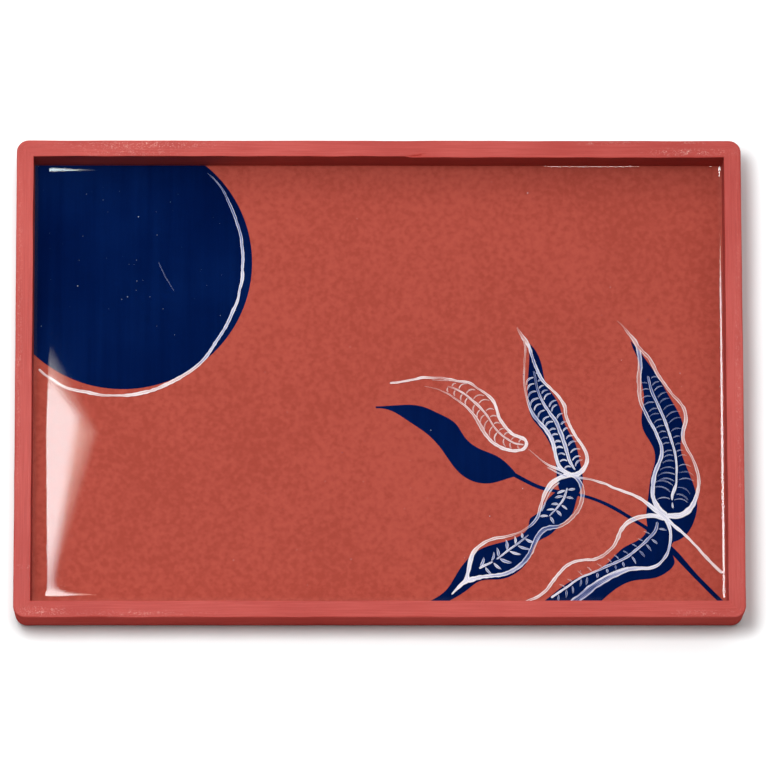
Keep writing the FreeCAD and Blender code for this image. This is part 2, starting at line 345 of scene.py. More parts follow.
@dataclass(frozen=True)
class RailPaint:
    """Matt terracotta paint brushed along a rail, with rubbed edges and pale scuffs.

    Attributes:
        name: the material's name.
        deep: the darkest tone.
        body: the middle tone.
        pale: the lightest tone.
        scuff: the pale of rubbed and chipped places.
        pore: the dark of small gaps in the brushing.
        top_rough: least and greatest roughness of the top faces.
        level: upward shares of a face's direction between which it turns from upright to level.
        upright_rough: roughness of upright faces.
        top_sheen: specular level of the top faces.
        inner_sheen: specular level of the inner walls, while the outer walls have none.
        outer_band: how far in from the tray's outline the outer walls reach, in millimetres.
    """

    name: str = "terracotta_rail_paint"
    deep: RGB = (0.372, 0.044, 0.036)
    body: RGB = (0.412, 0.055, 0.045)
    pale: RGB = (0.455, 0.069, 0.057)
    scuff: RGB = (0.80, 0.52, 0.45)
    pore: RGB = (0.20, 0.026, 0.024)
    top_rough: Span = (0.29, 0.36)
    level: Span = (0.4, 0.9)
    upright_rough: float = 0.62
    top_sheen: float = 0.30
    inner_sheen: float = 0.16
    outer_band: float = 5.5

    def outer_walls(self, s: Shader, sizes: TraySizes) -> bpy.types.NodeSocket:
        """1 within the band along the tray's outline, and 0 inside it."""
        apart = s.split(s.vector("ABSOLUTE", s.place()))
        ends = s.math("GREATER_THAN", apart["X"], (sizes.length / 2 - self.outer_band) * MM)
        sides = s.math("GREATER_THAN", apart["Y"], (sizes.width / 2 - self.outer_band) * MM)
        return s.math("MAXIMUM", ends, sides)

    def make(self, sizes: TraySizes) -> bpy.types.Material:
        """Brush streaks run along the rail, and scuffs come only where the wear value is high."""
        s = Shader(self.name)
        streaks = s.noise(s.flow(0.045, 1.6), 4.0, 0.6)
        cloud = s.noise(s.coords(22.0, 22.0, 22.0), 2.0)
        tone = s.mean(streaks, 0.6, cloud)
        paint = s.ramp(tone, [(0.4, self.deep), (0.5, self.body), (0.6, self.pale)])
        swirl = s.noise(s.flow(0.55, 0.8), 2.5, 0.6)
        curl = s.math("ABSOLUTE", s.math("SUBTRACT", swirl, 0.5))
        chip = s.grey(s.noise(s.flow(1.5, 2.6), 3.0, 0.6), 0.62, 0.66)
        patchy = s.grey(s.noise(s.flow(0.35, 0.6), 1.0), 0.45, 0.6)
        mark = s.math("MAXIMUM", s.math("MULTIPLY", s.grey(curl, 0.0, 0.022, 1.0, 0.0), patchy), chip)
        worn = s.math("MULTIPLY", mark, s.attribute("wear"))
        pores = s.grey(s.noise(s.flow(0.5, 6.0), 2.0, 0.5), 0.69, 0.73, 0.0, 0.75)
        colour = s.mix(worn, s.mix(pores, paint, self.pore), self.scuff)
        grain = s.noise(s.flow(0.3, 7.0), 4.0, 0.65)
        normal = s.bump(s.math("ADD", grain, s.math("MULTIPLY", worn, -0.8)), 0.00012, 0.6)
        upward = s.split(s.node("ShaderNodeTexCoord").outputs["Normal"])["Z"]
        rough = s.math("MAXIMUM", s.grey(streaks, 0.3, 0.7, *self.top_rough),
                       s.grey(upward, *self.level, self.upright_rough, 0.0))
        sheen = s.math("MAXIMUM", s.grey(upward, *self.level, 0.0, self.top_sheen),
                       s.grey(self.outer_walls(s, sizes), 0.0, 1.0, self.inner_sheen, 0.0))
        return s.principled(Base_Color=colour, Roughness=rough, Specular_IOR_Level=sheen, Normal=normal)


@dataclass(frozen=True)
class PanelPaint:
    """Terracotta paint on the panel's face, and bare thin-stained plywood on its underside."""

    name: str = "terracotta_panel_paint"
    deep: RGB = (0.315, 0.055, 0.038)
    body: RGB = (0.348, 0.063, 0.045)
    pale: RGB = (0.380, 0.071, 0.051)
    ply_dark: RGB = (0.36, 0.20, 0.10)
    ply_pale: RGB = (0.62, 0.42, 0.24)
    face_level: float = 2.5

    def make(self) -> bpy.types.Material:
        """The face is painted above the panel's middle, and the grain shows below it."""
        s = Shader(self.name)
        cloud = s.noise(s.coords(14.0, 14.0, 14.0), 3.0, 0.6)
        fine = s.noise(s.coords(420.0, 420.0, 60.0), 3.0, 0.6)
        tone = s.mean(cloud, 0.35, fine)
        face = s.ramp(tone, [(0.41, self.deep), (0.5, self.body), (0.59, self.pale)])
        grain = s.noise(s.coords(9.0, 300.0, 60.0), 6.0, 0.65)
        ply = s.ramp(grain, [(0.35, self.ply_dark), (0.62, self.ply_pale)])
        upper = s.math("GREATER_THAN", s.split(s.place())["Z"], self.face_level * MM)
        colour = s.mix(upper, ply, face)
        normal = s.bump(grain, 0.00006, 0.4)
        rough = s.grey(grain, 0.3, 0.7, 0.5, 0.68)
        return s.principled(Base_Color=colour, Roughness=rough, Specular_IOR_Level=0.0, Normal=normal)


@dataclass(frozen=True)
class NavyPaint:
    """Dense navy paint with faint brush drag along the tray's short way."""

    name: str = "navy_paint"
    deep: RGB = (0.0003, 0.0048, 0.040)
    body: RGB = (0.0005, 0.0064, 0.049)
    pale: RGB = (0.0012, 0.0100, 0.066)

    def make(self) -> bpy.types.Material:
        """Long streaks and a slow cloud vary the navy a little."""
        s = Shader(self.name)
        drag = s.noise(s.coords(330.0, 14.0, 50.0), 4.0, 0.6)
        cloud = s.noise(s.coords(18.0, 18.0, 18.0), 3.0)
        tone = s.mean(drag, 0.35, cloud)
        colour = s.ramp(tone, [(0.38, self.deep), (0.5, self.body), (0.68, self.pale)])
        normal = s.bump(drag, 0.00004, 0.4)
        rough = s.grey(drag, 0.3, 0.7, 0.42, 0.6)
        return s.principled(Base_Color=colour, Roughness=rough, Specular_IOR_Level=0.0, Normal=normal)


@dataclass(frozen=True)
class WhiteBrushwork:
    """White paint of varying cover: bluish where it is thin over navy, rosy over terracotta, with painted
    shade darkening its edges.
    """

    name: str = "white_brushwork"
    navy: RGB = NavyPaint.body
    # Painted shade: a darker navy for a stroke's edges, standing in for the thin shadow along the paint's
    # edge.
    navy_painted_edge_shade: RGB = (0.0003, 0.0030, 0.022)
    veil_on_navy: RGB = (0.060, 0.085, 0.215)
    lilac: RGB = (0.34, 0.36, 0.53)
    white: RGB = (0.72, 0.70, 0.75)
    terracotta: RGB = PanelPaint.body
    # Painted shade: a darker terracotta for a stroke's edges, standing in for the thin shadow along the
    # paint's edge.
    base_painted_edge_shade: RGB = (0.17, 0.028, 0.022)
    veil_on_terracotta: RGB = (0.42, 0.16, 0.14)
    rose: RGB = (0.55, 0.35, 0.34)
    warm_white: RGB = (0.76, 0.68, 0.70)

    def make(self) -> bpy.types.Material:
        """Cover comes from the stroke, broken up by bristle streaks that follow it."""
        s = Shader(self.name)
        bristles = s.noise(s.flow(0.13, 4.6), 3.0, 0.6)
        cover = s.math("ADD", s.attribute("cover"), s.grey(bristles, 0.32, 0.68, -0.26, 0.2))
        on_navy = s.ramp(cover, [(0.03, self.navy), (0.33, self.veil_on_navy), (0.62, self.lilac),
                                 (0.92, self.white)])
        on_base = s.ramp(cover, [(0.03, self.terracotta), (0.33, self.veil_on_terracotta),
                                 (0.62, self.rose), (0.92, self.warm_white)])
        # Stroke edges are darkened towards these tones: painted shade, not a colour of the paint.
        ridge = s.attribute("ridge")
        on_navy = s.mix(ridge, on_navy, self.navy_painted_edge_shade)
        on_base = s.mix(ridge, on_base, self.base_painted_edge_shade)
        colour = s.mix(s.attribute("over_navy"), on_base, on_navy)
        normal = s.bump(bristles, 0.00008, 0.5)
        rough = s.grey(bristles, 0.3, 0.7, 0.42, 0.6)
        return s.principled(Base_Color=colour, Roughness=rough, Specular_IOR_Level=0.0, Normal=normal)


@dataclass(frozen=True)
class ClearResin:
    """Glossy clear coat: it mirrors by its angle and otherwise shows what lies under it."""

    name: str = "clear_resin_face"
    tint: RGB = (0.985, 0.975, 0.97)
    square_on: float = 0.04
    haze: float = 0.016

    def make(self) -> bpy.types.Material:
        """Mirror share is a small constant plus the fifth power of the facing value."""
        s = Shader(self.name)
        facing = s.feed(s.node("ShaderNodeLayerWeight"), Blend=0.5).outputs["Facing"]
        edge = s.math("MULTIPLY", s.math("POWER", facing, 5.0), 1.0 - self.square_on)
        share = s.math("ADD", edge, self.square_on)
        gloss = s.feed(s.node("ShaderNodeBsdfGlossy"), Color=(*WHITE, 1.0), Roughness=self.haze)
        blend = s.node("ShaderNodeMixShader")
        for socket, value in zip(blend.inputs, (share, s.see_through(self.tint), gloss.outputs["BSDF"])):
            s.put(socket, value)
        return s.surface(blend.outputs["Shader"])


@dataclass(frozen=True)
class HiddenResin:
    """The coat's sides and underside, which touch the tray and so can't be seen."""

    name: str = "clear_resin_inside"

    def make(self) -> bpy.types.Material:
        """Plain see-through."""
        s = Shader(self.name)
        return s.surface(s.see_through(WHITE))


@dataclass(frozen=True)
class PinSteel:
    """Bright drawn wire with faint scratches."""

    name: str = "pin_steel"
    dark: RGB = (0.32, 0.32, 0.33)
    bright: RGB = (0.62, 0.62, 0.64)

    def make(self) -> bpy.types.Material:
        """Fine noise varies tone and roughness."""
        s = Shader(self.name)
        fine = s.noise(s.coords(2600.0, 2600.0, 900.0), 3.0)
        colour = s.ramp(fine, [(0.3, self.dark), (0.7, self.bright)])
        rough = s.grey(fine, 0.3, 0.7, 0.25, 0.5)
        return s.principled(Base_Color=colour, Metallic=1.0, Roughness=rough)


@dataclass(frozen=True)
class PaintedPutty:
    """Sanded putty under the rail's paint, a little duller than the wood round it."""

    name: str = "painted_putty"
    deep: RGB = (0.42, 0.07, 0.058)
    body: RGB = (0.50, 0.094, 0.08)

    def make(self) -> bpy.types.Material:
        """A grainy version of the rail's colour."""
        s = Shader(self.name)
        grit = s.noise(s.coords(1500.0, 1500.0, 1500.0), 4.0, 0.6)
        colour = s.ramp(grit, [(0.35, self.deep), (0.65, self.body)])
        normal = s.bump(grit, 0.00008, 0.5)
        rough = s.grey(grit, 0.3, 0.7, 0.6, 0.75)
        return s.principled(Base_Color=colour, Roughness=rough, Specular_IOR_Level=0.3, Normal=normal)


@dataclass(frozen=True)
class PaleSpeck:
    """Dust and tiny bubbles caught in the coat."""

    name: str = "caught_dust"
    dim: RGB = (0.03, 0.06, 0.14)
    bright: RGB = (0.62, 0.64, 0.72)

    def make(self) -> bpy.types.Material:
        """Each speck gets its own tone from where it lies."""
        s = Shader(self.name)
        place = s.noise(s.coords(90.0, 90.0, 90.0), 2.0)
        colour = s.ramp(place, [(0.42, self.dim), (0.66, self.bright)])
        return s.principled(Base_Color=colour, Roughness=0.5, Specular_IOR_Level=0.2)


@dataclass(frozen=True)
class StudioWhite:
    """Plain pale floor."""

    name: str = "studio_floor"
    low: RGB = (0.90, 0.90, 0.905)
    high: RGB = (0.93, 0.93, 0.93)

    def make(self) -> bpy.types.Material:
        """White card with the faintest mottle."""
        s = Shader(self.name)
        mottle = s.noise(s.coords(3.0, 3.0, 3.0), 2.0)
        colour = s.ramp(mottle, [(0.3, self.low), (0.7, self.high)])
        return s.principled(Base_Color=colour, Roughness=0.9, Specular_IOR_Level=0.0)


# ---------------------------------------------------------------- sizes from the frame

@dataclass(frozen=True)
class TraySizes:
    """Driving sizes in millimetres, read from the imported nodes."""

    length: float
    width: float
    height: float
    rail: float
    panel_top: float
    resin_top: float
    rebate: float
    paint_top: float

    @classmethod
    def from_frame(cls) -> "TraySizes":
        """Measure the rails, the panel, the coat and the paint."""
        rail_low, rail_high = (np.array(v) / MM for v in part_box("left_rail"))
        back_high = np.array(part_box("back_rail")[1]) / MM
        panel_high = np.array(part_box("base_panel")[1]) / MM
        coat_high = np.array(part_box("resin_coat")[1]) / MM
        paint_high = np.array(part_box("moon_paint")[1]) / MM
        return cls(
            length=-2 * rail_low[0],
            width=2 * back_high[1],
            height=rail_high[2],
            rail=back_high[1] - coat_high[1],
            panel_top=panel_high[2],
            resin_top=coat_high[2],
            rebate=panel_high[1] - coat_high[1],
            paint_top=paint_high[2],
        )

    @property
    def inner_x(self) -> float:
        """Half the well's length."""
        return self.length / 2 - self.rail

    @property
    def inner_y(self) -> float:
        """Half the well's width."""
        return self.width / 2 - self.rail


# ---------------------------------------------------------------- the rails

class Side(Enum):
    """A rail's outward direction in plan."""

    FRONT = (0, -1)
    BACK = (0, 1)
    LEFT = (-1, 0)
    RIGHT = (1, 0)

    @property
    def out(self) -> np.ndarray:
        """Unit vector that points out of the tray."""
        return np.array(self.value, float)

    @property
    def along(self) -> np.ndarray:
        """Unit vector along the rail, a quarter turn anticlockwise from its outward one."""
        return np.array([-self.value[1], self.value[0]], float)


@dataclass(frozen=True)
class Wear:
    """A patch of scuffs on a rail: where it is and how far it reaches, in millimetres."""

    x: float
    y: float
    reach_x: float
    reach_y: float
    strength: float = 1.0


@dataclass
class RailFrame:
    """The four rails, each a closed section carried along its side to the mitres.

    Attributes:
        sizes: the tray's sizes.
        corner_radius: radius of the outside corners in plan.
        inner_ease: radius of the rounded upper inner edge.
        outer_ease: radius of the rounded upper outer edge.
        foot_ease: radius of the rounded lower outer edge.
        ease_wander: share by which the upper radii wander.
        top_wander: how far the top face sinks on average, and wanders about that.
        wall_margin: where the straight rows of a wall stop short of its edges.
        station_step: distance between cross lines.
        fan_points: cross lines round half a corner.
        lead_points: points of the straight run up to a corner, with both its ends.
        ease_steps: points of a rounded edge.
        wall_rows: rows of a straight wall.
        across_points: points across half the top face, with both its ends.
        wave: how far the walls wander.
        climb_start: height above the coat where the inner wall starts to wander.
        climb_height: height in which it comes to wander fully.
        corner_calm: distance from the mitres in which the unevenness dies out.
        worn_depth: how far under the top wear still shows.
        tear_at: where the split in the back rail's inner edge starts.
        tear_length: how long it is.
        tear_depth: how deep it is.
        tear_width: half its width.
        tear_step: how far the edge steps sideways there.
        wear: the scuffed patches.
    """

    sizes: TraySizes
    corner_radius: float = 5.0
    inner_ease: float = 0.25
    outer_ease: float = 0.6
    foot_ease: float = 0.5
    ease_wander: float = 0.28
    top_wander: float = 0.03
    wall_margin: float = 2.0
    station_step: float = 0.8
    fan_points: int = 13
    lead_points: int = 4
    ease_steps: int = 6
    wall_rows: int = 8
    across_points: int = 13
    wave: float = 0.05
    climb_start: float = 2.0
    climb_height: float = 8.0
    corner_calm: float = 16.0
    worn_depth: float = 0.9
    tear_at: float = 12.0
    tear_length: float = 8.0
    tear_depth: float = 0.55
    tear_width: float = 0.22
    tear_step: float = 0.45
    wear: tuple[Wear, ...] = (
        Wear(-100, 98, 26, 1.6, 0.8), Wear(-104, 94.5, 18, 1.2, 0.5), Wear(128, 95.2, 14, 1.3, 1.0),
        Wear(96, 99, 12, 0.7, 0.7), Wear(128, 99.2, 7, 0.6, 0.8), Wear(-139, -97.2, 9, 1.6, 1.0),
        Wear(-98, -98.2, 22, 1.2, 0.5), Wear(133, -98, 12, 1.2, 0.6), Wear(-146.5, -79, 3, 0.5, 1.0),
        Wear(-148.5, 20, 1.2, 60, 0.4), Wear(148, -10, 1.2, 70, 0.35),
    )

    def stations(self, side: Side) -> tuple[np.ndarray, np.ndarray]:
        """Inner and outer plan points of the cross lines along one rail.

        Cross lines stand square to the rail between the well's corners. Past a corner they
        fan about it, with their outer ends on the rounded outside, to the 45 degree mitre.

        Args:
            side: which rail.

        Returns:
            Inner and outer points as (along, out) pairs, one row a station.
        """
        s = self.sizes
        half, depth = (s.inner_x, s.inner_y) if side.out[0] == 0 else (s.inner_y, s.inner_x)
        flat = np.linspace(-half, half, int(2 * half / self.station_step) + 1)
        inset = s.rail - self.corner_radius
        angle = np.linspace(0, np.pi / 4, self.fan_points)
        bend = np.stack([half + inset + self.corner_radius * np.sin(angle),
                         depth + inset + self.corner_radius * np.cos(angle)], axis=1)
        lead_run = np.linspace(half, half + inset, self.lead_points)[1:-1]
        lead = np.stack([lead_run, np.full_like(lead_run, depth + s.rail)], axis=1)
        end_out = np.vstack([lead, bend])
        start_out = end_out[::-1] * [-1, 1]
        side_out = np.stack([flat, np.full_like(flat, depth + s.rail)], axis=1)
        outer = np.vstack([start_out, side_out, end_out])
        inner = np.stack([np.clip(outer[:, 0], -half, half), np.full(len(outer), depth)], axis=1)
        return inner, outer

    def calm(self, run: np.ndarray) -> np.ndarray:
        """Share of unevenness left: all of it mid-rail and none at the mitres, so they match."""
        return np.clip((np.abs(run[[0, -1]]).max() - np.abs(run)) / self.corner_calm, 0, 1)

    def section(self, run: np.ndarray, seed: int) -> tuple[np.ndarray, np.ndarray, np.ndarray]:
        """The rail's closed section at every station.

        Going round: up the inner wall, over the inner edge, across the top, over the outer
        edge, down the outer wall, under the foot and back through the rebate. Both upper
        edges are quarter rounds whose radius wanders along the rail.

        Args:
            run: distance along the rail at each station.
            seed: picks this rail's unevenness.

        Returns:
            Distance from the inner line, distance from the outer line, and height, as
            stations x ring arrays. A distance is negative where the other one counts.
        """
        s = self.sizes
        turn = np.linspace(0, np.pi / 2, self.ease_steps)
        calm = self.calm(run)
        inner_r = (self.inner_ease * (1 + self.ease_wander * calm * wobble(run, 38, seed)))[:, None]
        outer_r = (self.outer_ease * (1 + self.ease_wander * calm * wobble(run, 44, seed + 1)))[:, None]
        top = (s.height - self.top_wander - self.top_wander * calm * wobble(run, 55, seed + 2))[:, None]
        one = np.ones((len(run), 1))
        skip = -one
        wall = np.linspace(s.panel_top, s.height - self.wall_margin, self.wall_rows)[None, :]
        outer_wall = np.linspace(s.height - self.wall_margin, self.wall_margin, self.wall_rows)[None, :]
        across = np.linspace(0.0, 1.0, self.across_points)[None, 1:-1]
        mid = s.rail / 2
        parts: list[tuple[np.ndarray, np.ndarray, np.ndarray]] = [
            (0 * one * wall, skip * np.ones_like(wall), one * wall),
            (inner_r * (1 - np.cos(turn)), skip * np.ones_like(turn), top - inner_r * (1 - np.sin(turn))),
            (inner_r + (mid - inner_r) * across, skip * np.ones_like(across), top * np.ones_like(across)),
            (skip * np.ones_like(across), mid + (outer_r - mid) * across, top * np.ones_like(across)),
            (skip * np.ones_like(turn), outer_r * (1 - np.sin(turn)), top - outer_r * (1 - np.cos(turn))),
            (skip * np.ones_like(wall), 0 * one * wall, one * outer_wall),
            (skip * np.ones_like(turn), self.foot_ease * one * (1 - np.cos(turn)),
             self.foot_ease * one * (1 - np.sin(turn))),
            (one * s.rebate, skip, 0 * one),
            (one * s.rebate, skip, s.panel_top * one),
        ]
        return tuple(np.hstack([part[k] for part in parts]) for k in range(3))

    def worn(self, plan: np.ndarray, height: np.ndarray) -> np.ndarray:
        """How scuffed each point is: soft ovals of wear, on the upper faces only."""
        total = np.zeros(plan.shape[:2])
        for patch in self.wear:
            far_x = (plan[..., 0] - patch.x) / patch.reach_x
            far_y = (plan[..., 1] - patch.y) / patch.reach_y
            total = total + patch.strength * np.exp(-(far_x**2 + far_y**2))
        return np.clip(total, 0, 1) * (height > self.sizes.height - self.worn_depth)

    def tear(self, plan: np.ndarray, height: np.ndarray) -> np.ndarray:
        """Depth of the split lip on the back rail: a groove that slants off the inner edge."""
        along = (plan[..., 0] - self.tear_at) / self.tear_length
        line = self.sizes.inner_y + 0.25 + 1.1 * np.clip(along, 0, 1) ** 1.3
        near = np.exp(-((plan[..., 1] - line) / self.tear_width) ** 2)
        window = np.clip(along * 6, 0, 1) * np.clip((1 - along) * 3, 0, 1)
        return self.tear_depth * near * window * (height > self.sizes.height - self.wall_margin)

    def build_side(self, side: Side, material: bpy.types.Material) -> bpy.types.Object:
        """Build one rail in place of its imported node.

        Args:
            side: which rail.
            material: its paint.

        Returns:
            The rail's object.
        """
        inner, outer = self.stations(side)
        run = outer[:, 0]
        seed = 11 * (list(Side).index(side) + 1)
        from_in, from_out, height = self.section(run, seed)
        cross = outer - inner
        width = np.linalg.norm(cross, axis=1, keepdims=True)
        unit = cross / width
        deep = (from_in / unit[:, 1:2])[..., None]
        from_inner = inner[:, None, :] + unit[:, None, :] * deep
        from_outer = outer[:, None, :] - unit[:, None, :] * from_out[..., None]
        flat = np.where((from_in >= 0)[..., None], from_inner, from_outer)
        climb = np.clip((height - self.sizes.resin_top - self.climb_start) / self.climb_height, 0, 1)
        calm = self.calm(run)[:, None]
        push_in = self.wave * wobble(run, 42, seed + 3)[:, None] * climb * calm
        push_out = -np.abs(self.wave * wobble(run, 60, seed + 4))[:, None] * calm
        flat[..., 1] += np.where(from_in >= 0, push_in, push_out)
        plan = flat[..., :1] * side.along + flat[..., 1:] * side.out
        if side is Side.BACK:
            height = height - self.tear(plan, height)
            lip = self.tear_step * (1 / (1 + np.exp(-(plan[..., 0] - self.tear_at) / 0.5)) - 0.5)
            edge = np.exp(-((plan[..., 1] - self.sizes.inner_y) / 0.8) ** 2)
            plan[..., 1] -= lip * edge * climb * calm
        grid = np.dstack([plan, height])
        steps = np.linalg.norm(np.diff(grid[len(grid) // 2], axis=0), axis=1)
        ring = np.concatenate([[0.0], np.cumsum(steps)])
        uv = np.dstack([np.broadcast_to(run[:, None], height.shape) + 400 * seed,
                        np.broadcast_to(ring, height.shape)])
        sheet = MeshSheet()
        sheet.add_swept(grid[:, ::-1], uv[:, ::-1], wear=self.worn(plan, height)[:, ::-1])
        name = side.name.lower() + "_rail"
        piece = sheet.build(name + "_painted", [material], "terracotta_paint")
        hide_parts(name)
        return piece

    def build(self) -> None:
        """Build all four rails."""
        paint = RailPaint().make(self.sizes)
        for side in Side:
            self.build_side(side, paint)


# ---------------------------------------------------------------- brushwork

@dataclass(frozen=True)
class Stroke:
    """One pull of the brush: points of x, y, width and cover, from 0 bare to 1 solid."""

    points: tuple[StrokePoint, ...]
    lift: float = 0.0

    def sampled(self, step: float) -> np.ndarray:
        """The stroke's smooth line with its width and cover carried along."""
        return smooth_path(np.array(self.points), step)


@dataclass(frozen=True)
class VeinRow:
    """A row of short strokes that leave a midrib on one side.

    Attributes:
        start: share of the midrib's length where the row begins.
        stop: share where it ends.
        count: how many strokes.
        hand: 1 for the left of the midrib's direction, -1 for the right.
        lean: degrees that a stroke leans towards the midrib's end, at the row's two ends.
        fill: share of the way to the outline that a stroke covers.
        bow: how far a stroke's middle bends, as a share of its length.
        width: greatest width of a stroke.
        cover: paint cover.
        reach: longest stroke allowed.
        gap: how far off the midrib's edge the strokes start.
    """

    start: float
    stop: float
    count: int
    hand: int
    lean: Span
    fill: float
    bow: float
    width: float
    cover: float
    reach: float
    gap: float


@dataclass(frozen=True)
class Leaf:
    """White lines over one leaf: outlines, midribs, and rows of veins on each midrib."""

    name: str
    outlines: tuple[Stroke, ...]
    midribs: tuple[Stroke, ...]
    veins: tuple[tuple[int, VeinRow], ...]


LEFT_LEAF = Leaf(
    "left_leaf",
    outlines=(
        Stroke((
            (4.5, 0.7, 0.9, 0.9), (8.9, 1.3, 1.0, 0.95), (13.9, 2.2, 1.0, 0.9), (17.9, 3.1, 1.3, 0.95),
            (21.9, 3, 1.0, 0.75), (25.9, 3, 0.8, 0.5), (29.2, 2.4, 1.3, 0.8), (32.9, 1.6, 1.0, 0.85),
            (37.3, 1, 1.2, 0.9), (40.7, -1.2, 0.9, 0.7), (43.9, -3.4, 1.1, 0.8), (46.9, -6.2, 1.6, 0.9),
            (48.7, -10, 1.3, 0.95), (49.6, -13.4, 1.5, 0.95), (52.3, -17.6, 1.5, 0.9),
            (55.3, -20.7, 1.5, 1.0), (58.3, -22, 1.6, 1.0), (60.5, -23.2, 1.6, 1.0),
            (61, -24.8, 1.6, 1.0), (59.9, -26.8, 1.5, 0.95), (57.3, -27.6, 1.4, 0.95),
            (53.9, -27.4, 1.6, 1.0), (50.3, -26.2, 1.6, 0.95), (46.9, -24.1, 1.5, 0.9),
            (44.1, -20.8, 1.6, 0.8), (41.9, -17, 1.8, 0.65), (39.7, -13.4, 1.4, 0.7),
            (36.3, -9.3, 1.0, 0.75), (32.7, -6.5, 0.8, 0.6), (28.5, -3.7, 0.6, 0.55),
            (24, -1.7, 0.45, 0.4), (18.9, -0.4, 0.3, 0.2),
        )),
        Stroke((
            (21.9, 2.1, 0.5, 0.35), (25.4, 2, 0.5, 0.4), (28.9, 2, 0.5, 0.5),
        ), lift=0.01),
    ),
    midribs=(
        Stroke((
            (28.2, -0.5, 0.5, 0.45), (32.4, -1.9, 0.8, 0.7), (36.7, -4.9, 0.9, 0.75),
            (40.4, -8, 1.3, 0.9), (43.3, -11, 1.0, 0.8), (46, -15, 0.8, 0.7), (48.9, -19.2, 0.8, 0.75),
            (52.3, -22.2, 0.8, 0.8), (55.9, -24.4, 0.8, 0.85), (59.9, -25.2, 0.7, 0.8),
        )),
    ),
    veins=(
        (0, VeinRow(0.04, 0.93, 12, 1, (32, 24), 0.85, 0.22, 0.6, 0.78, 5.4, 0.5)),
        (0, VeinRow(0.02, 0.93, 13, -1, (22, 46), 0.88, 0.18, 0.62, 0.76, 5.4, 0.4)),
    ),
)

UPPER_LEAF = Leaf(
    "upper_leaf",
    outlines=(
        Stroke((
            (57.3, 24.6, 0.3, 0.15), (58.4, 22.4, 1.1, 0.5), (59.7, 20.2, 1.8, 0.7),
            (61.1, 18.2, 1.9, 0.85), (62.5, 15.8, 1.5, 0.95), (63.3, 12.8, 1.3, 0.7),
            (64.3, 9.8, 1.3, 0.6), (65.5, 6.6, 1.4, 0.75), (66.9, 3.4, 1.5, 0.8), (68.6, 0.9, 1.4, 0.9),
            (71.2, -1.4, 1.2, 0.9), (75.1, -5.8, 1.4, 0.9), (76.9, -9, 1.7, 0.85),
            (77.3, -12.4, 1.4, 0.8), (78.5, -15.8, 1.4, 0.85), (80.9, -20.8, 1.4, 0.95),
            (84.3, -26, 1.5, 0.95), (85.9, -29.4, 1.6, 0.9), (85.9, -32.6, 1.8, 0.95),
            (84.3, -35.6, 2.2, 1.0), (81.9, -37.4, 2.4, 1.0), (79.3, -37.9, 2.2, 1.0),
        )),
        Stroke((
            (60.1, 19.6, 1.0, 0.6), (60.8, 14.8, 0.9, 0.5), (60.4, 10.4, 0.8, 0.45),
            (60.1, 5.4, 0.8, 0.5), (60.3, 0.4, 0.8, 0.55), (60.9, -3.8, 0.9, 0.6),
            (62.1, -8.4, 1.2, 0.65), (63.7, -12.2, 1.5, 0.65), (66.1, -15.4, 1.6, 0.75),
            (68.3, -17.8, 1.8, 0.8), (70.3, -20.6, 1.9, 0.85), (71.9, -24.4, 1.9, 0.9),
            (72.7, -28, 1.7, 0.95), (73.4, -31.2, 1.6, 0.95), (74.7, -34.4, 1.7, 0.95),
            (76.9, -36.6, 1.9, 1.0), (79.7, -37.8, 2.2, 1.0),
        ), lift=0.01),
    ),
    midribs=(
        Stroke((
            (64.1, 6, 0.7, 0.3), (64.9, 1.9, 1.0, 0.35), (65.5, -1, 1.0, 0.45), (66.5, -4.2, 1.1, 0.6),
            (68.1, -7.6, 1.2, 0.65), (70.3, -11.2, 1.4, 0.75), (72.9, -14.8, 1.7, 0.7),
            (74.9, -19.4, 1.9, 0.7), (76.5, -24, 1.8, 0.75), (77.7, -28.2, 1.6, 0.8),
            (79.1, -32.6, 1.4, 0.85), (81.1, -35.8, 0.6, 0.9),
        )),
    ),
    veins=(
        (0, VeinRow(0.05, 0.97, 15, -1, (34, -22), 0.86, 0.24, 0.85, 0.8, 5.2, 0.5)),
        (0, VeinRow(0.04, 0.97, 15, 1, (-14, -8), 0.70, 0.22, 0.8, 0.74, 6.0, 0.9)),
    ),
)

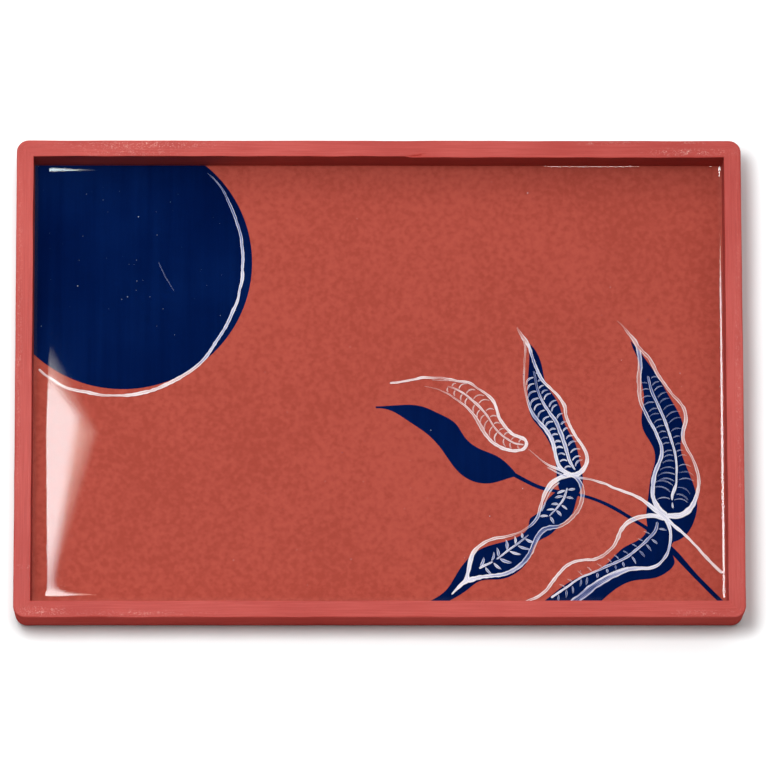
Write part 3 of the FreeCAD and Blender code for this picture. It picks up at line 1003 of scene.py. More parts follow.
RIGHT_LEAF = Leaf(
    "right_leaf",
    outlines=(
        Stroke((
            (98.9, 27.2, 0.3, 0.15), (101.3, 24.9, 0.6, 0.4), (103.7, 21.8, 1.2, 0.6),
            (106.1, 18.6, 1.9, 0.7), (107.4, 15.8, 1.9, 0.7), (108.1, 12.8, 2.0, 0.65),
            (108.3, 8.4, 2.1, 0.6), (107.9, 4, 2.2, 0.55), (107.8, -0.2, 2.0, 0.55),
            (108, -4.4, 1.8, 0.6), (108.9, -8.4, 1.5, 0.6), (110.9, -12.8, 1.4, 0.65),
            (113.3, -17.4, 1.4, 0.75), (115.3, -21.6, 1.4, 0.8), (116.7, -25.4, 1.5, 0.8),
            (116.9, -29, 1.7, 0.8), (115.7, -33.1, 1.8, 0.75), (113.9, -37.5, 2.0, 0.8),
            (113.2, -42.4, 2.0, 0.85), (113.1, -46.8, 1.9, 0.9), (114.3, -50, 2.3, 0.95),
            (116.5, -53, 2.7, 1.0), (118.7, -54.8, 2.6, 1.0),
        )),
        Stroke((
            (107.3, 16.8, 1.2, 0.6), (109.5, 14, 1.4, 0.6), (111.9, 11.6, 1.6, 0.6),
            (113.8, 8.2, 1.7, 0.6), (115.8, 4, 1.6, 0.65), (118.7, 0, 1.4, 0.65), (121.7, -4.1, 1.2, 0.6),
            (124.7, -7.4, 1.4, 0.65), (126.7, -11, 1.5, 0.7), (127.1, -14.8, 1.8, 0.75),
            (126, -18.8, 1.8, 0.8), (125.7, -22.4, 1.6, 0.75), (127.1, -26, 1.3, 0.7),
            (129.5, -30.6, 1.1, 0.65), (131.3, -35.4, 1.4, 0.75), (132.2, -40.2, 1.5, 0.8),
            (131.7, -44.4, 1.7, 0.9), (130.4, -48.6, 2.0, 0.95), (128.3, -52.1, 2.7, 1.0),
            (125.1, -54.5, 2.8, 1.0), (121.7, -55, 2.6, 1.0), (118.5, -54.8, 2.6, 1.0),
        ), lift=0.01),
    ),
    midribs=(
        Stroke((
            (111.5, 3.9, 0.9, 0.4), (112.4, -0.6, 1.2, 0.55), (114.5, -6, 1.3, 0.65),
            (116.6, -10.8, 1.3, 0.7), (118.4, -15.2, 1.3, 0.75), (120.2, -20.6, 1.2, 0.85),
            (121.5, -25, 1.1, 0.85), (122.5, -29.2, 1.0, 0.85), (123, -33.6, 1.0, 0.9),
            (123, -38.2, 0.9, 0.9), (122.8, -41.4, 0.9, 0.95), (122, -43.9, 1.6, 0.95),
            (121.1, -46.4, 1.3, 0.95), (121, -48.5, 0.5, 0.9),
        )),
        Stroke((
            (121.1, -49.2, 0.4, 0.8), (121.2, -50.5, 0.9, 0.9), (121.4, -51.9, 0.4, 0.8),
        )),
    ),
    veins=(
        (0, VeinRow(0.06, 0.99, 20, -1, (-8, 6), 0.84, 0.16, 0.52, 0.46, 8.4, 0.7)),
        (0, VeinRow(0.03, 0.99, 19, 1, (-8, 12), 0.72, 0.16, 0.52, 0.43, 8.4, 0.9)),
    ),
)

FRONT_LEAF = Leaf(
    "front_leaf",
    outlines=(
        Stroke((
            (79.9, -37.8, 2.4, 1.0), (76.5, -38.4, 2.2, 1.0), (73.3, -39.8, 2.3, 1.0),
            (70.7, -42, 2.4, 1.0), (68.9, -44.8, 2.0, 0.95), (67.5, -48.2, 1.4, 0.85),
            (66.5, -51.8, 1.4, 0.75), (65.5, -55.2, 1.5, 0.65), (63.7, -57.8, 1.3, 0.55),
            (60.9, -60.2, 1.0, 0.5), (57.9, -61.9, 0.9, 0.5), (54.9, -63, 1.0, 0.6),
            (50.9, -63.9, 1.3, 0.75), (46.9, -64.6, 1.4, 0.8), (43.7, -66, 1.4, 0.85),
            (40.7, -68.2, 1.7, 0.9), (38.8, -70.4, 2.0, 0.95), (37.7, -73.2, 2.2, 1.0),
            (37, -76.6, 2.0, 1.0), (36.4, -79.6, 1.8, 1.0), (36.1, -81.6, 2.6, 1.0),
            (34.3, -83.2, 2.0, 1.0), (31.9, -85.6, 1.2, 1.0), (29.7, -87.8, 0.7, 1.0),
        )),
        Stroke((
            (74.5, -41, 0.7, 0.8), (71.5, -43.6, 0.7, 0.75), (69.5, -47, 0.6, 0.7),
            (68.1, -50.6, 0.6, 0.7), (66.9, -53.2, 0.6, 0.6),
        ), lift=0.012),
        Stroke((
            (79.5, -37.8, 1.6, 1.0), (82.1, -39.6, 1.6, 0.7), (83.7, -42.6, 2.0, 0.5),
            (84, -46.2, 2.0, 0.5), (83.3, -49.8, 1.9, 0.5), (81.7, -53.2, 1.9, 0.5),
            (79.3, -56, 1.8, 0.5), (76.5, -58.2, 1.6, 0.5), (73.9, -59.4, 1.6, 0.5),
            (70.7, -59.8, 2.1, 0.5), (67.9, -60.9, 2.4, 0.5), (65.6, -63.4, 2.4, 0.5),
            (63.9, -66.8, 2.4, 0.5), (62.3, -70.4, 2.4, 0.52), (59.9, -73.9, 2.2, 0.6),
            (56.9, -76.6, 2.0, 0.7), (53.7, -78.5, 1.9, 0.75), (49.9, -79.6, 1.8, 0.8),
            (45.9, -80, 1.7, 0.9), (41.9, -80.6, 1.8, 0.95), (38.7, -81.4, 2.4, 1.0),
            (36.1, -82.2, 2.6, 1.0),
        ),
               lift=0.01),
    ),
    midribs=(
        Stroke((
            (77.7, -43.2, 0.6, 0.9), (76.9, -46.2, 1.0, 0.8), (75.4, -49.1, 1.0, 0.8),
            (73.3, -51.8, 0.8, 0.75), (70.1, -55.2, 0.5, 0.7),
        )),
        Stroke((
            (61.7, -62.9, 0.4, 0.5), (58.9, -65.1, 0.8, 0.7), (55.9, -67.5, 0.9, 0.75),
            (52.9, -69.6, 0.9, 0.8), (49.9, -72, 0.8, 0.8), (48.3, -73.1, 0.8, 0.8),
        )),
        Stroke((
            (46.8, -74.1, 0.7, 0.8), (43.9, -75.5, 1.1, 0.9), (41.1, -76.9, 1.0, 0.95),
        )),
    ),
    veins=(
        (0, VeinRow(0.06, 0.98, 5, 1, (-26, 18), 0.92, 0.05, 1.15, 0.8, 3.6, 0.4)),
        (0, VeinRow(0.04, 0.98, 5, -1, (28, 46), 0.9, 0.05, 1.15, 0.82, 3.8, 0.4)),
        (1, VeinRow(0.18, 0.92, 4, -1, (-36, -28), 0.95, 0.08, 1.25, 0.8, 4.4, 0.5)),
        (1, VeinRow(0.10, 0.95, 4, 1, (-34, -38), 0.98, -0.07, 1.3, 0.8, 5.4, 0.5)),
        (2, VeinRow(0.20, 0.88, 2, -1, (-38, -46), 0.95, 0.1, 1.3, 0.8, 4.4, 0.6)),
        (2, VeinRow(0.05, 0.66, 2, 1, (-28, -14), 0.95, -0.06, 1.15, 0.8, 4.8, 0.6)),
    ),
)

FRONT_RIGHT_LEAF = Leaf(
    "front_right_leaf",
    outlines=(
        Stroke((
            (118.3, -56.2, 2.4, 1.0), (113.9, -55, 2.2, 1.0), (109.3, -55.2, 2.0, 0.95),
            (105.5, -56.1, 2.2, 0.9), (102.3, -58, 2.1, 0.9), (99.9, -61, 1.8, 0.85),
            (98.4, -64.3, 1.8, 0.8), (96.9, -67.2, 1.4, 0.7), (94.5, -69.8, 1.4, 0.65),
            (91.5, -72.1, 1.5, 0.7), (88.5, -73.2, 1.4, 0.85), (84.9, -73.3, 1.2, 0.9),
            (80.7, -74.1, 1.3, 0.9), (77.1, -76, 1.5, 0.9), (74.1, -79, 1.4, 0.9), (71.7, -82, 1.6, 0.85),
            (68.7, -86.1, 1.4, 0.8), (65.5, -88.6, 1.4, 0.85), (61.3, -90.4, 1.0, 0.75),
            (56.7, -92.2, 0.6, 0.6),
        )),
        Stroke((
            (118.3, -56.4, 2.0, 1.0), (119.9, -60, 1.6, 0.95), (120.4, -63.6, 1.3, 0.85),
            (119.8, -67.2, 1.2, 0.8), (118.8, -70.6, 1.3, 0.8), (116.7, -73.8, 1.2, 0.8),
            (114.3, -75.9, 1.5, 0.9), (111.5, -76.8, 1.6, 0.95), (107.7, -76.8, 1.7, 0.95),
            (103.5, -77.2, 2.0, 0.85), (99.3, -78.6, 2.4, 0.75), (95.1, -80.5, 2.8, 0.65),
            (90.9, -82.8, 3.2, 0.55), (87.1, -85.4, 3.5, 0.5), (83.7, -88.2, 3.5, 0.5),
            (80.9, -90.4, 3.3, 0.5), (77.9, -92.6, 3.0, 0.5),
        ), lift=0.01),
        Stroke((
            (102.9, -76.4, 0.5, 0.95), (97.5, -78, 0.5, 0.95), (92.3, -80.6, 0.5, 0.9),
            (87.9, -83.4, 0.5, 0.8), (83.5, -86.8, 0.4, 0.6),
        ), lift=0.02),
    ),
    midribs=(
        Stroke((
            (114.9, -57.4, 1.0, 0.5), (114.1, -61, 1.4, 0.55), (111.5, -64.1, 1.4, 0.6),
            (108.9, -66.6, 1.3, 0.65), (105.9, -69.3, 1.2, 0.7), (102.3, -72, 1.3, 0.7),
            (98.1, -74.2, 1.2, 0.7), (93.9, -76, 1.2, 0.7), (90.7, -77.5, 1.0, 0.75),
            (87.1, -79, 0.9, 0.8), (83.3, -80.6, 0.9, 0.85), (80.1, -82.7, 0.9, 0.9),
            (76.7, -85.1, 1.0, 0.95), (73.5, -87.3, 1.0, 0.95), (70.7, -89.2, 1.1, 1.0),
        )),
    ),
    veins=(
        (0, VeinRow(0.06, 0.94, 14, 1, (-8, 42), 0.74, 0.05, 1.0, 0.62, 4.6, 0.8)),
        (0, VeinRow(0.10, 0.86, 11, -1, (18, 32), 0.62, 0.04, 0.55, 0.5, 4.4, 0.4)),
    ),
)

MOON_LINE = Stroke((
    (-71.3, 89.9, 0.25, 0.12), (-68.5, 87.1, 0.57, 0.4), (-65.1, 83.1, 0.74, 0.5),
    (-62.7, 78.1, 1.1, 0.45), (-60.5, 73.1, 1.3, 0.5), (-58.7, 67.9, 1.2, 0.6), (-57.3, 62.9, 1.3, 0.62),
    (-56.8, 58.7, 1.4, 0.66), (-56.4, 54.1, 1.4, 0.8), (-56.6, 49.5, 1.3, 0.85), (-56.7, 44.7, 1.6, 0.9),
    (-57.8, 39.9, 1.1, 0.85), (-58.5, 36.1, 1.2, 0.9), (-60.6, 30.9, 1.6, 0.85), (-63.3, 24.9, 1.4, 0.8),
    (-66.9, 19.1, 1.4, 0.8), (-70.5, 13.4, 1.5, 0.8), (-74.7, 8.5, 1.5, 0.85), (-80.3, 4.4, 1.6, 0.85),
    (-87.3, 0.5, 1.8, 0.95), (-93.5, -2.2, 1.5, 0.9), (-99.3, -3.7, 1.8, 0.95), (-105.1, -4.4, 1.3, 0.9),
    (-109.5, -4.5, 0.9, 0.85), (-114.7, -4.3, 1.2, 0.85), (-120.3, -3.2, 1.6, 0.95),
    (-125.7, -2.3, 1.3, 0.9), (-130.1, -0.9, 1.3, 0.95), (-135.1, 2.2, 1.2, 0.95),
    (-138.9, 4.7, 0.98, 0.85), (-140.9, 6.7, 1.1, 0.8),
))

BRANCH_LINE = (
    Stroke((
        (61.5, -26.8, 0.36, 0.2), (64.9, -29.6, 0.45, 0.45), (67.5, -32, 0.63, 0.6),
        (70.1, -33.7, 0.99, 0.8), (73.1, -35, 1.3, 0.95), (76.3, -36.4, 1.4, 1.0),
        (80.3, -38.2, 1.8, 1.0), (83.3, -39, 0.99, 0.85), (86.5, -39.5, 0.9, 0.6),
        (89.9, -40.4, 0.99, 0.8), (93.5, -41.6, 1.1, 0.95), (97.1, -43.3, 1.1, 1.0),
        (101.9, -45, 1.3, 1.0), (106.7, -47, 1.4, 1.0), (110.5, -49.6, 1.8, 0.95),
        (114.1, -52.6, 2.1, 1.0), (118.1, -55.8, 2.5, 1.0), (120.9, -58.4, 1.6, 1.0),
        (123.9, -60.9, 1.5, 1.0), (126.5, -63.2, 1.3, 0.95), (129.9, -66.7, 1.1, 0.95),
        (133.5, -70.8, 1.3, 0.95), (137.7, -75.3, 1.4, 1.0), (141.5, -79, 1.4, 1.0),
    ), lift=0.015),
    Stroke((
        (69.5, -34.5, 0.54, 0.6), (73.3, -36.6, 0.72, 0.7), (77.5, -38.6, 0.81, 0.8),
    ), lift=0.02),
)

HAIRLINES = (
    Stroke((
        (-91.4, 52, 0.25, 0.1), (-90.2, 49, 0.35, 0.14), (-87.2, 43.2, 0.35, 0.13),
        (-85, 39.6, 0.25, 0.08),
    )),
)


@dataclass
class InkMap:
    """Tells which plan points lie over the navy paint."""

    nodes: tuple[str, ...]
    level: float
    level_slack: float = 0.02
    batch: int = 64
    corners: np.ndarray = field(init=False)

    def __post_init__(self) -> None:
        """Collect the upper triangles of every navy film, in millimetres."""
        found = []
        for node in self.nodes:
            mesh = bpy.data.objects[node].data
            mesh.calc_loop_triangles()
            index = np.empty(len(mesh.loop_triangles) * 3, np.int32)
            mesh.loop_triangles.foreach_get("vertices", index)
            points = np.empty(len(mesh.vertices) * 3, np.float32)
            mesh.vertices.foreach_get("co", points)
            faces = points.reshape(-1, 3)[index.reshape(-1, 3)] / MM
            upper = (faces[..., 2] > self.level - self.level_slack).all(axis=1)
            found.append(faces[upper][..., :2])
        self.corners = np.concatenate(found)

    def over(self, plan: np.ndarray) -> np.ndarray:
        """Whether each plan point lies over navy.

        A point is in a triangle when it lies on the same side of all three edges.

        Args:
            plan: n x 2 points.

        Returns:
            n numbers, 1 over navy and 0 elsewhere.
        """
        inside = np.zeros(len(plan), bool)
        for chunk in np.array_split(self.corners, max(len(self.corners) // self.batch, 1)):
            sides = []
            for k in range(3):
                a, b = chunk[:, k], chunk[:, (k + 1) % 3]
                edge = (b - a)[:, None, :]
                far = plan[None, :, :] - a[:, None, :]
                sides.append(edge[..., 0] * far[..., 1] - edge[..., 1] * far[..., 0])
            sides = np.stack(sides)
            inside |= ((sides >= 0).all(axis=0) | (sides <= 0).all(axis=0)).any(axis=0)
        return inside.astype(float)


@dataclass
class Brushwork:
    """All the white lines, laid as low crowned ribbons of paint.

    Attributes:
        sizes: the tray's sizes.
        ink: tells which points lie over navy.
        step: distance between samples of a stroke.
        crown: height of a solid ribbon's middle over its edges.
        floor_gap: gap between the paint below and a ribbon.
        ring_top: points across a ribbon's back.
        hollow: how much cover a dry ribbon loses in its middle.
        bank: cover gained along the ribbon's two banks, where the paint piles up.
        bank_place: where the banks lie, as a share of the half width.
        bank_width: how wide they are, in the same share.
        spread: width of a ribbon as a share of its table's width.
        edge_wander: share by which a ribbon's width wanders.
        line_wander: how far its middle wanders.
        probe_step: step of the search for a leaf's outline.
        hit_gap: distance at which an outline counts as met.
        shortest: least length of a vein.
        vein_samples: points that a vein is bent through.
    """

    sizes: TraySizes
    ink: InkMap
    step: float = 0.42
    crown: float = 0.07
    floor_gap: float = 0.01
    ring_top: int = 11
    hollow: float = 0.35
    bank: float = 0.6
    bank_place: float = 0.76
    bank_width: float = 0.2
    spread: float = 0.92
    edge_wander: float = 0.09
    line_wander: float = 0.05
    probe_step: float = 0.2
    hit_gap: float = 0.9
    shortest: float = 0.7
    vein_samples: int = 9

    def lay(self, sheet: MeshSheet, line: np.ndarray, lift: float, seed: int) -> None:
        """Lay one ribbon: a flat foot and a rounded back, narrowing to round ends.

        Cover is thinner in the ribbon's middle than at its edges, more so where the stroke
        is dry, as when bristles part.

        Args:
            sheet: the mesh that takes it.
            line: samples of x, y, width and cover.
            lift: extra height, so that a later stroke lies over an earlier one.
            seed: picks the wander of its edges.
        """
        s = self.sizes
        run = arc_length(line)
        way = np.gradient(line[:, :2], axis=0)
        way /= np.linalg.norm(way, axis=1, keepdims=True)
        left = np.stack([-way[:, 1], way[:, 0]], axis=1)
        half = line[:, 2] / 2 * self.spread * (1 + self.edge_wander * wobble(run, 4.0, seed))
        to_end = np.minimum(run, run[-1] - run)
        blunt = np.clip(to_end / np.maximum(half, 0.05), 0, 1)
        half = np.maximum(half * np.sqrt(1 - (1 - blunt) ** 2), 0.02)
        centre = line[:, :2] + left * (self.line_wander * wobble(run, 9.0, seed + 1))[:, None]
        v = np.linspace(-1, 1, self.ring_top)
        plan = centre[:, None, :] + left[:, None, :] * (half[:, None] * v)[..., None]
        cover = np.clip(0.95 * line[:, 3], 0, 1)[:, None]
        back = s.paint_top + self.floor_gap + lift + self.crown * cover * np.sqrt(1 - 0.9 * v**2)
        foot_plan = np.stack([plan[:, -1], plan[:, 0]], axis=1)
        foot = np.full((len(line), 2), s.panel_top + self.floor_gap)
        grid = np.concatenate([np.dstack([plan, back]), np.dstack([foot_plan, foot])], axis=1)
        bank = np.exp(-((np.abs(v) - self.bank_place) / self.bank_width) ** 2)
        body = cover * (0.93 - self.hollow * (1 - cover)) + self.bank * bank * (1.1 - 0.6 * cover)
        drag = wobble(run[:, None] + 60 * v, 16.0, seed + 2)
        body = np.clip(body + 0.10 * drag * (1.2 - cover), 0.02, 1)
        body = body * (1 - 0.3 * (np.abs(v) > 0.95))
        full = np.concatenate([body, body[:, [-1, 0]]], axis=1)
        over = self.ink.over(grid[..., :2].reshape(-1, 2)).reshape(full.shape)
        uv = np.dstack([np.broadcast_to(run[:, None], full.shape) + 37.0 * seed,
                        np.concatenate([half[:, None] * v, half[:, None] * [1, -1]], axis=1)])
        # Share of painted shade along the ribbon's two edges and its foot: the paint there is darkened as
        # if shadowed.
        rim = np.zeros_like(full)
        rim[:, [0, self.ring_top - 1]] = 0.35 + 0.5 * cover
        rim[:, self.ring_top:] = rim[:, :1]
        sheet.add_swept(grid[:, ::-1], uv[:, ::-1], cover=full[:, ::-1], over_navy=over[:, ::-1],
                        ridge=rim[:, ::-1])

    def veins(self, row: VeinRow, rib: np.ndarray, outline: np.ndarray, seed: int) -> list[np.ndarray]:
        """Work out one row of veins.

        Each leaves the midrib at its own lean and runs a share of the way to the nearest
        outline; the share, lean and place wander a little.

        Args:
            row: the row's rule.
            rib: samples of the midrib.
            outline: plan points of the leaf's outlines.
            seed: picks the wander.

        Returns:
            Sampled strokes.
        """
        rng = np.random.default_rng(seed)
        run = arc_length(rib)
        share = np.linspace(row.start, row.stop, row.count)
        spacing = (row.stop - row.start) / max(row.count - 1, 1)
        at = np.clip(share + rng.uniform(-0.16, 0.16, row.count) * spacing, 0, 1) * run[-1]
        root = np.stack([np.interp(at, run, rib[:, 0]), np.interp(at, run, rib[:, 1])], axis=1)
        way = np.gradient(rib[:, :2], axis=0)
        heading = np.arctan2(np.interp(at, run, way[:, 1]), np.interp(at, run, way[:, 0]))
        lean = np.radians(np.linspace(row.lean[0], row.lean[1], row.count) + rng.uniform(-5, 5, row.count))
        angle = heading + row.hand * (np.pi / 2 - lean)
        way_out = np.stack([np.cos(angle), np.sin(angle)], axis=1)
        reach = np.arange(1.0, row.reach + 0.3, self.probe_step)
        probe = root[:, None, :] + way_out[:, None, :] * reach[None, :, None]
        gap = np.linalg.norm(probe[:, :, None, :] - outline[None, None], axis=-1).min(axis=2)
        hit = gap < self.hit_gap
        room = np.where(hit.any(axis=1), reach[hit.argmax(axis=1)], row.reach)
        length = np.maximum(room * row.fill * rng.uniform(0.88, 1.08, row.count), self.shortest)
        offset = np.interp(at, run, rib[:, 2]) / 2 + row.gap * rng.uniform(0.4, 1.1, row.count) * 0.6
        strokes = []
        for k in range(row.count):
            t = np.linspace(0, 1, self.vein_samples)[:, None]
            side = np.array([-way_out[k, 1], way_out[k, 0]]) * row.hand
            bend = side * row.bow * length[k] * 4 * t * (1 - t)
            plan = root[k] + way_out[k] * (offset[k] + length[k] * t) + bend
            blunt = 0.55 if row.width < 1 else 0.2
            width = row.width * (blunt + (1 - blunt) * np.sin(np.pi * t**0.9)) * rng.uniform(0.85, 1.15)
            cover = np.clip(row.cover + rng.uniform(-0.1, 0.12) - 0.15 * t, 0.15, 1)
            strokes.append(smooth_path(np.hstack([plan, width, cover]), self.step * 0.8))
        return strokes

    def build_leaf(self, leaf: Leaf, material: bpy.types.Material, seed: int) -> None:
        """Make one leaf's outline, midrib and vein pieces."""
        outline = MeshSheet()
        lines = [stroke.sampled(self.step) for stroke in leaf.outlines]
        for k, (stroke, line) in enumerate(zip(leaf.outlines, lines)):
            self.lay(outline, line, stroke.lift, seed + 7 * k)
        outline.build(leaf.name + "_outline", [material], "white_paint")
        midrib = MeshSheet()
        ribs = [stroke.sampled(self.step) for stroke in leaf.midribs]
        for k, (stroke, rib) in enumerate(zip(leaf.midribs, ribs)):
            self.lay(midrib, rib, stroke.lift + 0.006, seed + 50 + 7 * k)
        midrib.build(leaf.name + "_midrib", [material], "white_paint")
        border = np.vstack([line[:, :2] for line in lines])
        veins = MeshSheet()
        for k, (rib_index, row) in enumerate(leaf.veins):
            for j, line in enumerate(self.veins(row, ribs[rib_index], border, seed + 90 + k)):
                self.lay(veins, line, 0.003 * (j % 2), seed + 200 + 31 * k + 3 * j)
        veins.build(leaf.name + "_veins", [material], "white_paint")

    def build_lines(self, name: str, strokes: Sequence[Stroke], material: bpy.types.Material,
                    seed: int) -> bpy.types.Object:
        """Make one piece of several strokes."""
        sheet = MeshSheet()
        for k, stroke in enumerate(strokes):
            self.lay(sheet, stroke.sampled(self.step), stroke.lift, seed + 5 * k)
        return sheet.build(name, [material], "white_paint")

    def build(self) -> None:
        """Lay every white line of the pattern."""
        white = WhiteBrushwork().make()
        moon = self.build_lines("moon_rim_stroke", (MOON_LINE,), white, 400)
        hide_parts("moon_rim_line")
        self.build_lines("branch_stroke", BRANCH_LINE, white, 420)
        self.build_lines("surface_hairlines", HAIRLINES, white, 440)
        leaves = (LEFT_LEAF, UPPER_LEAF, RIGHT_LEAF, FRONT_LEAF, FRONT_RIGHT_LEAF)
        for k, leaf in enumerate(leaves):
            self.build_leaf(leaf, white, 500 * (k + 2))


# ---------------------------------------------------------------- resin

@dataclass(frozen=True)
class WallRise:
    """How the coat climbs at one wall: a steep exponential and a faint straight slope."""

    climb: float
    reach: float
    slope: float = 0.0
    slope_width: float = 5.6
    blur: float = 0.3

    def at(self, gap: np.ndarray) -> np.ndarray:
        """Height above level at a distance from the wall.

        The steep part is climb * exp(-gap / reach). The straight part falls from the wall
        to a soft bend at its width, and is level beyond it.

        Args:
            gap: distance from the wall.

        Returns:
            The rise, in the shape of gap.
        """
        gap = np.maximum(gap, 0)
        bend = self.blur * np.logaddexp(0, (self.slope_width - gap) / self.blur)
        return self.climb * np.exp(-gap / self.reach) + self.slope * bend


@dataclass
class ResinCoat:
    """The clear coat: level in the middle and drawn up at the walls.

    Attributes:
        sizes: the tray's sizes.
        left, right, front, back: the rise at each wall.
        bed_gap: height of the coat's underside over the navy paint.
        tuck: how far the coat reaches into the rails, so that no gap shows.
        swell: height of the slow waves in the surface.
        top_dip: how far the level middle lies under the coat's full height.
        middle_step: distance between grid lines away from the walls.
        wall_steps: distances from a wall of the grid lines near it.
        speck_count: how many specks are caught in the coat.
        moon_share: share of them that lie by the moon.
        moon_area: the X and Y spans of the area by the moon.
        other_area: the X and Y spans where the other specks lie.
        speck_size: least and greatest radius of a speck.
        speck_level: their least and greatest height over the navy paint.
    """

    sizes: TraySizes
    left: WallRise = WallRise(0.5, 0.85, 0.013)
    right: WallRise = WallRise(0.60, 1.7)
    front: WallRise = WallRise(0.85, 1.7)
    back: WallRise = WallRise(0.39, 2.1)
    bed_gap: float = 0.28
    tuck: float = 0.03
    swell: float = 0.003
    top_dip: float = 0.02
    middle_step: float = 1.3
    wall_steps: tuple[float, ...] = (
        0.0, 0.12, 0.25, 0.4, 0.55, 0.72, 0.9, 1.1, 1.35, 1.6, 1.85, 2.1, 2.4, 2.7, 3.1, 3.6, 4.2, 4.8, 5.2,
        5.5, 5.75, 6.0, 6.2, 6.45, 6.7, 7.0, 7.6, 8.6, 10.2)
    speck_count: int = 84
    moon_share: float = 0.6
    moon_area: tuple[Span, Span] = ((-140, -60), (20, 85))
    other_area: tuple[Span, Span] = ((-60, 135), (-85, 88))
    speck_size: Span = (0.09, 0.25)
    speck_level: Span = (0.45, 1.65)

    def lines(self, half: float) -> np.ndarray:
        """Grid lines across the well, crowded towards both walls."""
        near = np.array(self.wall_steps)
        middle = np.linspace(-half + near[-1], half - near[-1], int((half - near[-1]) / self.middle_step))
        reach = half + self.tuck
        return np.concatenate([-reach + near[:1], -half + near[1:-1], middle, half - near[-2:0:-1],
                               reach - near[:1]])

    def surface(self, x: np.ndarray, y: np.ndarray) -> np.ndarray:
        """Height of the coat over a plan grid: level, the rise at each wall, and a slow swell."""
        s = self.sizes
        rise = (self.left.at(x + s.inner_x) + self.right.at(s.inner_x - x)
                + self.front.at(y + s.inner_y) + self.back.at(s.inner_y - y))
        waves = np.sin(x / 31.0 + 0.6) * np.cos(y / 27.0 - 0.4) + 0.5 * np.sin((x + 1.7 * y) / 19.0)
        return s.resin_top - self.top_dip + rise + self.swell * waves

    def build(self) -> None:
        """Make the coat and the specks caught in it."""
        s = self.sizes
        x, y = self.lines(s.inner_x), self.lines(s.inner_y)
        gx, gy = np.meshgrid(x, y, indexing="ij")
        top = np.dstack([gx, gy, self.surface(gx, gy)])
        low = s.paint_top + self.bed_gap
        bed = np.dstack([gx[:, [-1, 0]], gy[:, [-1, 0]], np.full((len(x), 2), low)])
        grid = np.concatenate([top, bed], axis=1)
        slots = np.zeros(grid.shape[1], int)
        slots[len(y) - 1:] = 1
        uv = grid[..., :2]
        sheet = MeshSheet()
        sheet.add_swept(grid, uv, slots)
        sheet.slots[-2:] = [1, 1]
        coat = sheet.build("resin_pour", [ClearResin().make(), HiddenResin().make()], "clear_resin")
        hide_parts("resin_coat")
        self.specks()

    def specks(self) -> None:
        """Dust and bubbles: small flattened beads, thicker on the moon's side of the tray."""
        s = self.sizes
        rng = np.random.default_rng(5)
        n = self.speck_count
        by_moon = rng.uniform(size=n) < self.moon_share
        x, y = (np.where(by_moon, rng.uniform(*near, n), rng.uniform(*far, n))
                for near, far in zip(self.moon_area, self.other_area))
        least, most = self.speck_size
        size = least + (most - least) * rng.uniform(size=n) ** 3
        low, high = self.speck_level
        level = s.paint_top + low + rng.uniform(0, high - low, n)
        turn = np.linspace(0, 2 * np.pi, 7)[:-1]
        sheet = MeshSheet()
        for k in range(n):
            height = np.linspace(-0.9, 0.9, 4)
            ring = np.sqrt(1 - height**2) * size[k]
            px = x[k] + ring[:, None] * np.cos(turn)
            py = y[k] + ring[:, None] * np.sin(turn)
            pz = np.broadcast_to((level[k] + 0.6 * size[k] * height)[:, None], px.shape)
            grid = np.dstack([px, py, pz])
            sheet.add_swept(grid, grid[..., :2])
        sheet.build("caught_dust", [PaleSpeck().make()], "clear_resin")


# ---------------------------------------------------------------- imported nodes

class PackedFinishes:
    """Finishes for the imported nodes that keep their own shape."""

    navy_nodes: tuple[str, ...] = ("moon_paint", "left_leaf_paint", "upper_leaf_paint", "right_leaf_paint",
                                   "front_leaf_paint", "front_right_leaf_paint", "branch_paint")

    def dress(self, node: str, material: bpy.types.Material) -> None:
        """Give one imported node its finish."""
        slots = bpy.data.objects[node].data.materials
        slots.clear()
        slots.append(material)
        log.info("%s: packed shape, %s", node, material.name)

    def build(self) -> None:
        """Dress the panel, the navy films, the pins and the putty."""
        self.dress("base_panel", PanelPaint().make())
        navy = NavyPaint().make()
        for node in self.navy_nodes:
            self.dress(node, navy)
        steel = PinSteel().make()
        self.dress("corner_pins", steel)
        self.dress("panel_pins", steel)
        self.dress("pin_hole_filler", PaintedPutty().make())


# ---------------------------------------------------------------- studio

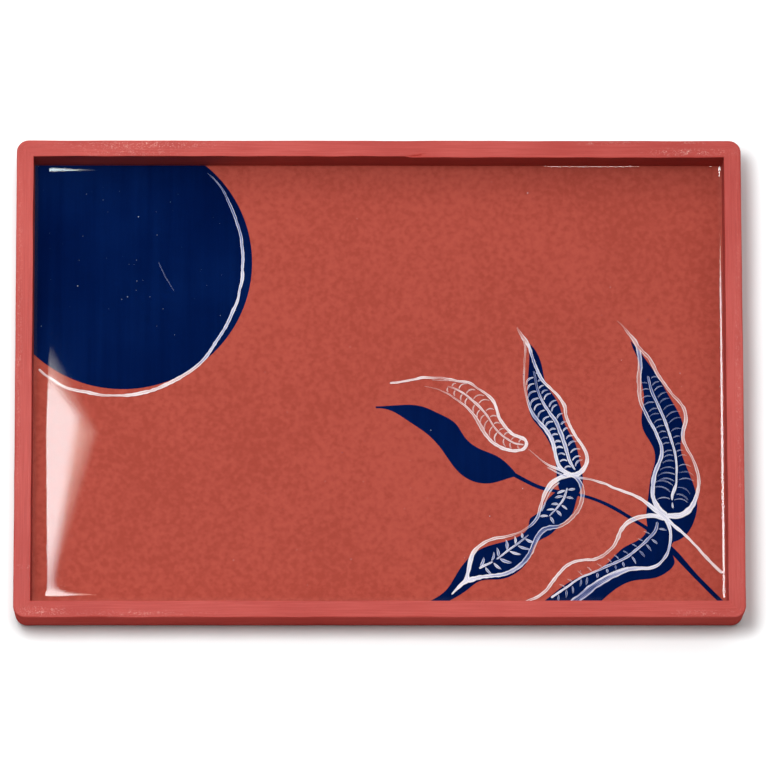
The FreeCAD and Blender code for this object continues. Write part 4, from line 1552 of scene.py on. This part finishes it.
@dataclass(frozen=True)
class Lamp:
    """A soft lamp that faces down, in metres, degrees and watts.

    Attributes:
        name: the lamp's name.
        place: where its middle hangs.
        size: its two sides.
        watts: its power.
        turn: turn about the upright.
        octagon: cut its square face to an octagon.
        inner: share of the way out where its brightness starts to fall.
        mirrored: whether glossy faces show it.
        tint: its colour.
    """

    name: str
    place: tuple[float, float, float]
    size: Span
    watts: float
    turn: float = 0.0
    octagon: bool = False
    inner: float = 0.95
    mirrored: bool = True
    tint: RGB = WHITE

    def cut_octagon(self, data: bpy.types.Light) -> None:
        """Light only inside |x| < 1, |y| < 1 and |x| + |y| < sqrt 2, with the face two units wide."""
        data.use_nodes = True
        w = Wiring(data.node_tree)
        face = w.node("ShaderNodeNewGeometry").outputs["Parametric"]
        centred = w.vector("MULTIPLY_ADD", face, (2.0, 2.0, 0.0), (-1.0, -1.0, 0.0))
        apart = w.split(w.vector("ABSOLUTE", centred))
        square = w.math("MAXIMUM", apart["X"], apart["Y"])
        slant = w.math("MULTIPLY", w.math("ADD", apart["X"], apart["Y"]), float(np.sqrt(0.5)))
        fall = w.ramp(w.math("MAXIMUM", square, slant), ((self.inner, WHITE), (1.0, BLACK)))
        w.feed(w.tree.nodes["Emission"], Color=fall)

    def build(self) -> None:
        """Hang the lamp."""
        data = bpy.data.lights.new(self.name, "AREA")
        data.shape = "RECTANGLE"
        data.size, data.size_y = self.size
        data.energy = self.watts
        data.color = self.tint
        if self.octagon:
            self.cut_octagon(data)
        lamp = bpy.data.objects.new(self.name, data)
        bpy.context.scene.collection.objects.link(lamp)
        lamp.location = self.place
        lamp.rotation_euler = (0.0, 0.0, np.radians(self.turn))
        lamp.visible_glossy = self.mirrored


@dataclass
class Studio:
    """Pale floor, soft lamps, dim surroundings and the camera.

    Attributes:
        floor_half: half the floor's side, in metres.
        floor_points: points along the floor's side.
        floor_gap: how far the floor lies under the tray, in metres.
        lamps: the lamps.
        camera_place: where the camera hangs, in metres.
        camera_turn: its turns, in degrees.
        lens: its focal length, in millimetres.
        sensor: its sensor's width, in millimetres.
        sight: how far it sees, in metres.
        air: upward share of a direction, and the level of the surroundings there.
        air_lean: how much brighter they get towards the back, and dimmer towards the front.
        air_in_gloss: share of their light that glossy faces see.
    """

    floor_half: float = 3.0
    floor_points: int = 5
    floor_gap: float = 0.0003
    lamps: tuple[Lamp, ...] = (
        Lamp("octagon_softbox", (-0.3343, 0.2218, 1.495), (0.311, 0.311), 2.95, turn=-8.7,
             octagon=True, inner=0.96, tint=(0.63, 0.90, 1.0)),
        Lamp("octagon_halo", (-0.331, 0.2335, 1.505), (0.317, 0.317), 2.4, turn=-16.0,
             octagon=True, inner=0.93, tint=(1.0, 0.94, 0.84)),
        Lamp("key_lamp", (-0.125, 0.030, 0.85), (0.31, 0.25), 5.2, mirrored=False),
        Lamp("strip_lamp", (0.153, 0.060, 1.5), (0.06, 0.05), 0.08),
    )
    camera_place: tuple[float, float, float] = (-0.0331, -0.5202, 2.750)
    camera_turn: tuple[float, float, float] = (10.74, -0.714, -0.11)
    lens: float = 316.2
    sensor: float = 36.0
    sight: float = 50.0
    air: tuple[Span, ...] = ((0.5, 0.10), (0.68, 1.02), (0.945, 1.02), (0.972, 0.0))
    air_lean: float = 1.6
    air_in_gloss: float = 0.12

    def floor(self) -> None:
        """A wide card just under the tray."""
        half = self.floor_half
        side = np.linspace(-half, half, self.floor_points)
        gx, gy = np.meshgrid(side, side, indexing="ij")
        verts = np.dstack([gx, gy, np.full_like(gx, -self.floor_gap)]).reshape(-1, 3)
        index = np.arange(gx.size).reshape(gx.shape)
        corners = [index[:-1, :-1], index[1:, :-1], index[1:, 1:], index[:-1, 1:]]
        faces = np.stack(corners, axis=-1).reshape(-1, 4)
        mesh = bpy.data.meshes.new("studio_floor")
        mesh.from_pydata(verts.tolist(), [], faces.tolist())
        mesh.materials.append(StudioWhite().make())
        card = bpy.data.objects.new("studio_floor", mesh)
        bpy.context.scene.collection.objects.link(card)

    def surroundings(self) -> None:
        """Surroundings with a pale band high up, paler at the back, and a dark middle overhead.

        Glossy faces see them dimmed, as if through a polarising filter.
        """
        world = bpy.data.worlds.new("studio_air")
        world.use_nodes = True
        w = Wiring(world.node_tree)
        way = w.split(w.node("ShaderNodeTexCoord").outputs["Generated"])
        glow = w.ramp(way["Z"], [(height, (level, level, level)) for height, level in self.air])
        lean = w.math("MAXIMUM", w.math("MULTIPLY_ADD", way["Y"], self.air_lean, 1.0), 0.0)
        glossy = w.node("ShaderNodeLightPath").outputs["Is Glossy Ray"]
        dimming = w.math("MULTIPLY_ADD", glossy, self.air_in_gloss - 1.0, 1.0)
        w.feed(w.tree.nodes["Background"], Color=glow, Strength=w.math("MULTIPLY", lean, dimming))
        bpy.context.scene.world = world

    def camera(self) -> None:
        """A long lens high over the front edge."""
        data = bpy.data.cameras.new("camera")
        data.lens = self.lens
        data.sensor_width = self.sensor
        data.clip_end = self.sight
        camera = bpy.data.objects.new("camera", data)
        bpy.context.scene.collection.objects.link(camera)
        camera.location = self.camera_place
        camera.rotation_euler = np.radians(self.camera_turn)
        bpy.context.scene.camera = camera

    def build(self) -> None:
        """Set up everything round the tray."""
        self.floor()
        for lamp in self.lamps:
            lamp.build()
        self.surroundings()
        self.camera()
        bpy.context.scene.view_settings.view_transform = "Standard"


def main() -> None:
    """Build the tray and the studio."""
    logging.basicConfig(level=logging.INFO, format="%(name)s %(message)s")
    sizes = TraySizes.from_frame()
    log.info("sizes: %s", sizes)
    Studio().build()
    RailFrame(sizes).build()
    finishes = PackedFinishes()
    finishes.build()
    Brushwork(sizes, InkMap(finishes.navy_nodes, sizes.paint_top)).build()
    ResinCoat(sizes).build()


if __name__ == "__main__":
    main()
